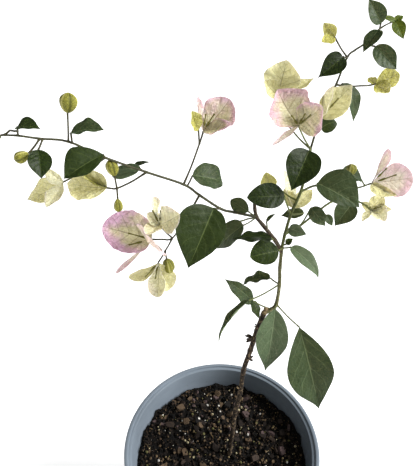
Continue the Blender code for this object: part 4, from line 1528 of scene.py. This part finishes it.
@dataclass
class Foliage:
    """The leaves, blooms, buds, stalks and flower tubes of one side of the plant.

    Attributes:
        side: the side's name, which starts the names of its nodes.
        skeleton: the limbs' centre lines.
        leaf_blank: the blank for leaves.
        bract_blank: the blank for bracts.
        stalk_width: a stalk's width in millimetres.
        sag: how far a stalk sags between two points, as a share of the way between them.
        root_swell: how much thicker a stalk is where it leaves its limb.
        tip_swell: how much thicker it is at its end.
        leaf_thickness: a leaf's thickness in millimetres.
        bract_thickness: a bract's thickness in millimetres.
        stalks: the green stalks made so far, and likewise the lists after it.
    """
    side: str
    skeleton: Skeleton
    leaf_blank: BladeBlank
    bract_blank: BladeBlank
    stalk_width: float = 1.1
    sag: float = 0.04
    root_swell: float = 0.45
    tip_swell: float = 0.15
    leaf_thickness: float = 0.34
    bract_thickness: float = 0.26
    stalks: list[Item] = field(default_factory=list)
    brown_stalks: list[Item] = field(default_factory=list)
    tubes: list[Item] = field(default_factory=list)
    buds: list[Item] = field(default_factory=list)
    bud_nodes: list[str] = field(default_factory=list)

    def build(self, rng: random.Random) -> None:
        """Build the side's pieces.

        Args:
            rng: the source of chance.
        """
        leaves = BladeSet(f"{self.side}_leaves", self.leaf_blank, self.leaf_thickness, "leaf")
        bracts = BladeSet(f"{self.side}_bracts", self.bract_blank, self.bract_thickness, "bract")
        for sprigs, blades in ((LEAVES, leaves), (BLOOMS, bracts), (EXTRAS, leaves)):
            for sprig in sprigs:
                if not sprig.node_name.startswith(self.side):
                    continue
                if sprigs is not EXTRAS:
                    nodes = self.bud_nodes if isinstance(sprig.blades[0], Bud) else blades.nodes
                    nodes.append(sprig.node_name)
                brown = sprig.parent in ("left_bough", "top_bough")
                self.grow(sprig, self.skeleton.spot(sprig.parent, sprig.node), blades,
                          self.brown_stalks if brown else self.stalks)
        leaves.build(rng)
        bracts.build(rng)
        for kind, items, skin, slot, nodes in (
                ("stalks", self.stalks, STALK_SKIN, "green_bark", []),
                ("brown_stalks", self.brown_stalks, BROWN_STALK, "green_bark", []),
                ("flower_tubes", self.tubes, TUBE_SKIN, "bud", []),
                ("buds", self.buds, BUD_SKIN, "bud", self.bud_nodes)):
            if items:
                piece = join(items)
                smooth(piece)
                settle(piece, f"{self.side}_{kind}", skin.material(), nodes)

    def grow(self, sprig: Sprig, start: Vector, blades: BladeSet, stalks: list[Item]) -> None:
        """Grow a sprig's stalk, its blades and its side stalks.

        Args:
            sprig: the sprig.
            start: where its stalk starts.
            blades: the set that takes its leaves or bracts.
            stalks: the list that takes its stalks.
        """
        points = self.skeleton.walk(start, sprig.path)
        stalks.append(self.stalk(points))
        for blade in sprig.blades:
            if isinstance(blade, Bud):
                self.buds.append(self.bud(blade, points[-1]))
            elif isinstance(blade, FlowerTube):
                self.tubes.append(self.flower_tube(blade, points[-1]))
            else:
                blades.blades.append((blade, points[-1]))
        for side_stalk in sprig.forks:
            self.grow(side_stalk, points[1], blades, stalks)

    def stalk(self, points: list[Vector]) -> Item:
        """Model a stalk that sags a little between its points and thickens towards its ends.

        Args:
            points: the ends of its stretches.

        Returns:
            The stalk, in place.
        """
        bent = [points[0]]
        for low, high in zip(points, points[1:]):
            bent += [low.lerp(high, 0.5) - UP * self.sag * (high - low).length, high]
        line, where = rounded(bent, 1.6)
        shares = [place / (len(bent) - 1) for place in where]
        # Each swelling runs over a quarter of the stalk.
        widths = [self.stalk_width * (1.0 + self.root_swell * max(0.0, 1 - 4 * share) ** 2
                                      + self.tip_swell * max(0.0, 4 * share - 3) ** 2) for share in shares]
        return tube(line, widths, 8)

    def bud(self, bud: Bud, root: Vector) -> Item:
        """Return a closed bloom: an egg with three broad ridges, fine ribs and a blunt lip.

        Args:
            bud: its sizes.
            root: where it meets its stalk.

        Returns:
            The bud, in place.
        """
        deselect()
        bpy.ops.mesh.primitive_uv_sphere_add(segments=36, ring_count=18, radius=0.5)
        item = bpy.context.object
        order_faces(item)
        item.data.uv_layers.active.name = PATTERN_MAP
        way = direction(bud.heading, bud.slope)
        turn = UP.rotation_difference(way)
        centre = root + way * (bud.length / 2)
        for vert in item.data.vertices:
            height = vert.co.z + 0.5
            angle = math.atan2(vert.co.y, vert.co.x)
            fold = abs(math.cos(1.5 * angle))
            ridge, rib = 0.22 * fold ** 0.8, 0.03 * math.cos(9 * angle)
            taper = (0.80 + 0.34 * min(1.0, height * 1.3)) * (1.0 - 0.25 * max(0.0, height - 0.8))
            lip = 0.06 * fold * max(0.0, height - 0.6)
            wide = bud.width * (0.84 + ridge + rib) * taper
            shaped = Vector((vert.co.x * wide, vert.co.y * wide, (vert.co.z + lip) * bud.length))
            vert.co = (centre + turn @ shaped) * MM
        return item

    def flower_tube(self, flower: FlowerTube, root: Vector) -> Item:
        """Return a slender flower tube, swollen at its foot, waisted, and closed by a small knob.

        Args:
            flower: its length and the way that it points.
            root: where the bloom's bracts meet.

        Returns:
            The tube, in place.
        """
        way = direction(flower.heading, flower.slope)
        foot = root + way * flower.start
        line, where = rounded([foot + way * (flower.length * k / 6) for k in range(7)], 0.7)
        # Places along it are counted in sixths of its length: its foot swells at 1.4, its knob at 5.6.
        widths = [0.75 + 0.85 * math.exp(-((w - 1.4) / 1.1) ** 2) + 0.45 * math.exp(-((w - 5.6) / 0.5) ** 2)
                  for w in where]
        return tube(line, widths, 8)


# ---------------------------------------------------------------- pot and potting mix


@dataclass
class NurseryPot:
    """The moulded pot: a tapered wall with a stepped lip, an outer skirt and a floor with drain holes.

    Attributes:
        height: from the ground to the lip.
        rim: the lip's outer radius.
        foot: the underside's radius.
        wall: the wall's thickness.
        floor: the floor's thickness.
        mouth: the lip's inner radius.
        skirt: how far the outer skirt hangs down.
        step: how far the inner ledge lies below the lip.
        sides: how many sides the round shapes have.
        hole_radius: a drain hole's radius.
        hole_circle: how far from the middle the holes lie.
        holes: how many holes there are.
    """
    height: float = 142.0
    rim: float = 76.0
    foot: float = 54.7
    wall: float = 1.6
    floor: float = 2.4
    mouth: float = 70.2
    skirt: float = 9.0
    step: float = 1.4
    sides: int = 120
    hole_radius: float = 4.0
    hole_circle: float = 40.0
    holes: int = 6

    def inner(self, height: float) -> float:
        """Return the inner wall's radius at a height."""
        return self.foot - self.wall + (self.mouth - self.foot + self.wall) * height / self.height

    def profile(self) -> list[tuple[float, float]]:
        """List the pot's rings from the underside's edge up the outside and down the inside.

        Returns:
            The radius and the height of each ring.
        """
        top = self.height
        ledge = top - self.step
        hem = top - self.skirt
        inside = self.rim - self.wall
        foot = [(self.foot - 1.2, 0.0), (self.foot - 0.3, 0.25), (self.foot, 1.0)]
        wall = [(self.inner(height) + self.wall, height)
                for height in (4.0, 20.0, 60.0, 100.0, hem - 14.0, hem - 2.0, ledge - 2.6)]
        skirt = [(inside - 0.9, ledge - 1.9), (inside, ledge - 3.0), (inside, hem + 0.3),
                 (inside + 0.4, hem), (self.rim - 0.3, hem), (self.rim, hem + 0.4), (self.rim, top - 1.0)]
        lip = [(self.rim - 0.3, top - 0.3), (self.rim - 1.1, top), (self.mouth + 3.4, top),
               (self.mouth + 2.9, top - 0.2), (self.mouth + 2.5, ledge), (self.mouth + 0.8, ledge - 0.05),
               (self.mouth + 0.2, ledge - 0.4), (self.mouth, ledge - 1.2)]
        lining = [(self.inner(height), height) for height in (ledge - 4.0, 124.0, 110.0, 60.0, 6.0)]
        corner = [(self.inner(3.0) - 0.5, self.floor + 0.5), (self.inner(3.0) - 1.6, self.floor)]
        return foot + wall + skirt + lip + lining + corner

    def build(self) -> None:
        """Model the pot ring by ring from a circle, close its floor and bore its drain holes."""
        rings = self.profile()
        deselect()
        bpy.ops.mesh.primitive_circle_add(vertices=self.sides, radius=rings[0][0] * MM, fill_type="NOTHING")
        item = bpy.context.object
        edit_all()
        for (radius, height), (wider, higher) in zip(rings, rings[1:]):
            extrude(higher - height, wider / radius)
        # The floor's two faces are still open rings.
        bpy.ops.mesh.select_all(action="DESELECT")
        bpy.ops.mesh.select_non_manifold()
        bpy.ops.mesh.fill_holes(sides=0)
        face_outward()
        order_faces(item)
        for number in range(self.holes):
            self.bore(item, math.tau * (number + 0.5) / self.holes)
        smooth(item, 35.0)
        settle(item, "moulded_pot", POT_PLASTIC.material(), ["pot"])

    def bore(self, item: Item, angle: float) -> None:
        """Bore one drain hole through the floor.

        Args:
            item: the pot.
            angle: where the hole lies round the floor.
        """
        deselect()
        place = (self.hole_circle * MM * math.cos(angle), self.hole_circle * MM * math.sin(angle), 0)
        bpy.ops.mesh.primitive_cylinder_add(vertices=24, radius=self.hole_radius * MM, depth=12 * MM,
                                            location=place)
        drill = bpy.context.object
        apply_modifier(item, "BOOLEAN", object=drill, operation="DIFFERENCE", solver="EXACT")
        bpy.data.objects.remove(drill, do_unlink=True)


def extrude(rise: float, share: float) -> None:
    """Extrude what is selected straight up, then scale it about the pot's axis.

    Args:
        rise: how far up, in millimetres.
        share: how much wider it becomes.
    """
    bpy.ops.mesh.extrude_region_move(TRANSFORM_OT_translate={"value": (0, 0, rise * MM)})
    bpy.ops.transform.resize(value=(share, share, 1), center_override=(0, 0, 0))


@dataclass(frozen=True)
class Strewn:
    """One kind of small thing that is strewn over the mix.

    Attributes:
        name: the piece's name.
        count: how many copies there are.
        sizes: the least and the most that a copy measures, in millimetres.
        shape: how the unit shape is squeezed along each axis.
        finishes: the finishes that the copies are dealt.
        sunk: how much of a copy's thickness lies in the mix.
        at_wall: the share of the copies that lie heaped along the wall.
    """
    name: str
    count: int
    sizes: tuple[float, float]
    shape: tuple[float, float, float]
    finishes: tuple[Finish, ...]
    sunk: float = 0.0
    at_wall: float = 0.0


CRUMBS = Strewn("mix_crumbs", 5200, (0.6, 3.0), (0.8, 0.8, 0.7), (
    Crumb("crumb_black", "#070605", 0.95, 1.35), Crumb("crumb_brown", "#16110d", 0.95, 1.35),
    Crumb("crumb_dark", "#0b0907", 0.95, 1.35), Crumb("crumb_umber", "#3d3025", 0.95, 1.35),
    Crumb("crumb_tan", "#735f47", 0.95, 1.35)), at_wall=0.2)
CHIPS = Strewn("mix_bark_chips", 330, (1.6, 6.8), (1.0, 0.66, 0.4), (
    Crumb("chip_brown", "#42342a", 0.85, 1.4), Crumb("chip_purple_brown", "#655250", 0.85, 1.4),
    Crumb("chip_dark", "#120d0b", 0.9, 1.4), Crumb("chip_umber", "#261c15", 0.9, 1.4),
    Crumb("chip_tan", "#705b45", 0.85, 1.4)), 0.2, 0.1)
GRAINS = Strewn("mix_pale_grains", 640, (0.5, 3.0), (0.9, 0.8, 0.8), (
    Crumb("grain_white", "#fbf6ea", 0.9), Crumb("grain_cream", "#d9cda2", 0.9),
    Crumb("grain_tan", "#9c8860", 0.9), Crumb("grain_brown", "#523f2e", 0.9),
    Crumb("grain_green", "#7d7848", 0.9)), 0.1)
FIBRES = Strewn("mix_fibres", 300, (3.0, 9.5), (1.0, 0.07, 0.06), (
    Crumb("fibre_tan", "#75603f", 0.9), Crumb("fibre_brown", "#3a2c20", 0.9),
    Crumb("fibre_dark", "#1a140f", 0.9)), 0.5, 0.3)


@dataclass
class PottingMix:
    """The potting mix: a lumpy body, crumbs, bark chips, pale grains and fibres on its top.

    Attributes:
        pot: the pot that holds it.
        top: its height.
        bottom: the height of its flat underside.
        flat: the radius of the level patch round the trunk's foot.
        lump: its broad lumps' height.
        spacing: their spacing.
        clod: its small clods' height.
        clod_spacing: their spacing.
        heap: how high it is heaped against the wall.
        heap_spacing: the heaps' spacing.
        heap_width: how far in from the wall they reach.
        ragged: how much higher or lower their edge is torn.
        ragged_spacing: the tears' spacing.
        settled: how far it has sunk.
        rings: how many rings of faces its top has.
        clearance: how far what is strewn on it stays from the wall.
        band: how wide the band along the wall is where some of it is heaped.
        leans: how far a strewn and a heaped copy lean, in radians.
        lifts: how far a strewn copy lies, and a heaped one may lie, above the body.
    """
    pot: NurseryPot
    top: float = 122.0
    bottom: float = 6.0
    flat: float = 12.0
    lump: float = 1.5
    spacing: float = 17.0
    clod: float = 2.6
    clod_spacing: float = 4.5
    heap: float = 6.0
    heap_spacing: float = 7.0
    heap_width: float = 7.0
    ragged: float = 3.6
    ragged_spacing: float = 2.4
    settled: float = 0.6
    rings: int = 44
    clearance: float = 1.5
    band: float = 3.0
    leans: tuple[float, float] = (0.35, 1.0)
    lifts: tuple[float, float] = (0.2, 2.8)

    def height(self, x: float, y: float) -> float:
        """Work out how high the top stands at a place.

        Args:
            x: the place in millimetres from the pot's axis.
            y: the same the other way.

        Returns:
            The height in millimetres.
        """
        out = math.hypot(x, y)
        calm = min(1.0, out / (2 * self.flat))
        # Each noise is read at a level of its own, so that their lumps don't fall together.
        large = noise.noise(Vector((x, y, 0.0)) / self.spacing) * self.lump * calm
        small = noise.fractal(Vector((x, y, 5.0)) / self.clod_spacing, 0.8, 2.2, 4) * self.clod * calm
        heaped = max(0.0, noise.noise(Vector((x, y, 9.0)) / self.heap_spacing) + 0.15) * self.heap
        torn = noise.noise(Vector((x, y, 3.0)) / self.ragged_spacing) * self.ragged
        near_wall = max(0.0, 1.0 - (self.pot.inner(self.top) - out) / self.heap_width)
        return self.top + large + small + (heaped + torn) * near_wall - self.settled

    def build(self, rng: random.Random) -> None:
        """Build the body and everything that is strewn on it.

        Args:
            rng: the source of chance.
        """
        self.body()
        self.strew(CRUMBS, self.grain(1, 0.175), rng)
        self.strew(CHIPS, self.chip(), rng)
        self.strew(GRAINS, self.grain(2, 0.1), rng)
        self.strew(FIBRES, self.fibre(), rng)

    def body(self) -> None:
        """Build the lumpy body as a closed disc inside the wall."""
        edge = self.pot.inner(self.top) - 0.25
        deselect()
        bpy.ops.mesh.primitive_circle_add(vertices=128, radius=edge * MM, fill_type="NGON",
                                          location=(0, 0, self.top * MM))
        item = bpy.context.object
        bpy.ops.object.transform_apply(location=True)
        edit_all()
        for _ in range(self.rings):
            bpy.ops.mesh.inset(thickness=edge * MM / (self.rings + 1))
        bpy.ops.mesh.poke()
        bpy.ops.object.mode_set(mode="OBJECT")
        for vert in item.data.vertices:
            vert.co.z = self.height(vert.co.x / MM, vert.co.y / MM) * MM
        bpy.ops.object.mode_set(mode="EDIT")
        bpy.ops.mesh.select_all(action="DESELECT")
        bpy.ops.mesh.select_non_manifold()
        extrude(self.bottom - self.top, (self.pot.inner(self.bottom) - 0.6) / edge)
        bpy.ops.mesh.edge_face_add()
        face_outward()
        order_faces(item)
        smooth(item, 70.0)
        settle(item, "mix_body", DARK_MIX.material(), ["potting_mix"])

    def grain(self, detail: int, unevenness: float) -> bpy.types.Mesh:
        """Model an uneven grain one unit across.

        Args:
            detail: how finely it is divided.
            unevenness: how far its points are moved.

        Returns:
            The grain's mesh.
        """
        deselect()
        bpy.ops.mesh.primitive_ico_sphere_add(subdivisions=detail, radius=0.5)
        return self.uneven(unevenness)

    def chip(self) -> bpy.types.Mesh:
        """Model a flat, broken bark chip one unit long.

        Returns:
            The chip's mesh.
        """
        self.divided_cube(1, 0.35)
        return self.uneven(0.2)

    def fibre(self) -> bpy.types.Mesh:
        """Model a bent fibre one unit long.

        Returns:
            The fibre's mesh.
        """
        self.divided_cube(2, 0.0)
        for vert in bpy.context.object.data.vertices:
            vert.co.y += 3.0 * vert.co.x ** 2
        return self.uneven(0.12)

    def divided_cube(self, cuts: int, roundness: float) -> None:
        """Add a cube one unit across with its faces divided.

        Args:
            cuts: how many cuts each edge has.
            roundness: how far the new points bulge.
        """
        deselect()
        bpy.ops.mesh.primitive_cube_add(size=1.0)
        edit_all()
        bpy.ops.mesh.subdivide(number_cuts=cuts, smoothness=roundness)
        bpy.ops.object.mode_set(mode="OBJECT")

    def uneven(self, offset: float) -> bpy.types.Mesh:
        """Move the active object's points about, remove the object and keep its mesh.

        Args:
            offset: how far the points move.

        Returns:
            The mesh.
        """
        item = bpy.context.object
        edit_all()
        bpy.ops.transform.vertex_random(offset=offset, seed=7)
        face_outward()
        mesh = item.data.copy()
        bpy.data.objects.remove(item, do_unlink=True)
        return mesh

    def strew(self, kind: Strewn, mesh: bpy.types.Mesh, rng: random.Random) -> None:
        """Strew copies of a small shape over the mix, joined into one piece.

        Args:
            kind: what is strewn, and how.
            mesh: the shape, one unit across.
            rng: the source of chance.
        """
        base = np.array([tuple(v.co) for v in mesh.vertices])
        rim = self.pot.inner(self.top) - self.clearance
        least, most = kind.sizes
        points, faces, slots = [], [], []
        for number in range(kind.count):
            size = least + (most - least) * rng.random() ** 2
            heaped = rng.random() < kind.at_wall
            # The heaped copies lean every way beside the wall; the others lie spread evenly over the top.
            if heaped:
                reach = rim - size / 2 - rng.uniform(0.0, self.band)
            else:
                reach = (rim - size) * math.sqrt(rng.random())
            angle = rng.uniform(0, math.tau)
            x, y = reach * math.cos(angle), reach * math.sin(angle)
            scale = np.array([s * size * rng.uniform(0.75, 1.25) for s in kind.shape])
            lean = self.leans[heaped]
            tilt = Matrix.Rotation(rng.gauss(0, lean), 3, "X") @ Matrix.Rotation(rng.gauss(0, lean), 3, "Y")
            turn = np.array(Matrix.Rotation(rng.uniform(0, math.tau), 3, "Z") @ tilt)
            lift = self.lifts[1] * rng.random() ** 2 if heaped else self.lifts[0]
            spot = np.array([x, y, self.height(x, y) + scale[2] * (0.5 - kind.sunk) + lift])
            points.append((base * scale) @ turn.T + spot)
            faces.extend(tuple(i + number * len(base) for i in face.vertices) for face in mesh.polygons)
            slots.extend([rng.randrange(len(kind.finishes))] * len(mesh.polygons))
        item = mesh_object(kind.name, points, faces, slots, [finish.material() for finish in kind.finishes])
        smooth(item, 45.0)
        settle(item, kind.name, None)


# ---------------------------------------------------------------- studio


@dataclass
class Studio:
    """The floor, the soft lights and the camera.

    Attributes:
        eye: the camera's place in millimetres.
        pitch: how far the camera looks down.
        focal: its focal length in millimetres.
        film: the width of what it is measured on.
        floor_size: the floor's side in metres.
        floor_finish: the floor's finish.
        sun_power: the key light's strength.
        sun_spread: how wide the key light is, in degrees, which softens its shadows.
        sun_way: the way that it shines.
        fill_place: where the fill light hangs, in metres.
        fill_size: its side in metres.
        fill_power: its power in watts.
        aim: what the fill light faces, in metres.
        room_light: how much light the room itself gives.
        backdrop: how bright the room looks above the floor.
    """
    eye: tuple[float, float, float] = (-10.6, -197.9, 486.8)
    pitch: float = 35.7
    focal: float = 35.54
    film: float = 36.0
    floor_size: float = 20.0
    floor_finish: Finish = LightTable("white_acrylic", "#f4f4f4", 0.9, 1.49, 0.65)
    sun_power: float = 4.7
    sun_spread: float = 26.0
    sun_way: tuple[float, float, float] = (-0.82, 0.06, -0.58)
    fill_place: tuple[float, float, float] = (0.1, -1.3, 1.8)
    fill_size: float = 1.6
    fill_power: float = 3.5
    aim: tuple[float, float, float] = (0.0, 0.05, 0.25)
    room_light: float = 0.15
    backdrop: float = 0.95

    def build(self) -> None:
        """Set up the floor, the lights, the room and the camera."""
        deselect()
        bpy.ops.mesh.primitive_plane_add(size=self.floor_size, location=(0, 0, -MM / 2))
        floor = bpy.context.object
        floor.name = "studio_floor"
        floor.data.materials.append(self.floor_finish.material())
        self.lights()
        self.room()
        bpy.ops.object.camera_add(location=[v * MM for v in self.eye],
                                  rotation=(math.radians(90 - self.pitch), 0, 0))
        camera = bpy.context.object
        camera.data.lens = self.focal
        camera.data.sensor_width = self.film
        camera.data.clip_start = 10 * MM
        bpy.context.scene.camera = camera
        bpy.context.scene.view_settings.view_transform = "Standard"

    def lights(self) -> None:
        """Add a broad sun as the key light, and a square soft fill light that faces the plant."""
        bpy.ops.object.light_add(type="SUN")
        sun = bpy.context.object
        sun.data.energy = self.sun_power
        sun.data.angle = math.radians(self.sun_spread)
        sun.rotation_euler = Vector(self.sun_way).to_track_quat("-Z", "Y").to_euler()
        bpy.ops.object.light_add(type="AREA", location=self.fill_place)
        fill = bpy.context.object
        fill.name = "fill"
        fill.data.size = self.fill_size
        fill.data.energy = self.fill_power
        way = Vector(self.aim) - Vector(self.fill_place)
        fill.rotation_euler = way.to_track_quat("-Z", "Y").to_euler()

    def room(self) -> None:
        """Make the room light the plant faintly, and look like a pale backdrop above the floor."""
        world = bpy.data.worlds.new("studio")
        bpy.context.scene.world = world
        world.use_nodes = True
        tree = world.node_tree
        seen = add_node(tree, "LightPath").outputs["Is Camera Ray"]
        shine = add_node(tree, "Math", (seen, self.backdrop - self.room_light, self.room_light),
                         operation="MULTIPLY_ADD")
        room = tree.nodes["Background"]
        room.inputs["Color"].default_value = linear("#ffffff")
        tree.links.new(shine.outputs["Value"], room.inputs["Strength"])


def main() -> None:
    """Build the whole potted plant and its studio."""
    logging.basicConfig(level=logging.INFO, format="%(message)s")
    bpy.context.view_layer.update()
    rng = random.Random(11)
    Studio().build()
    pot = NurseryPot()
    pot.build()
    PottingMix(pot).build(rng)
    skeleton = Skeleton()
    skeleton.trace()
    WoodyLimbs(skeleton).build()
    leaf_blank, bract_blank = BladeBlank(14, 30), BladeBlank(20, 36)
    leaf_blank.model()
    bract_blank.model()
    for side in ("left", "centre", "right"):
        Foliage(side, skeleton, leaf_blank, bract_blank).build(rng)


if __name__ == "__main__":
    main()
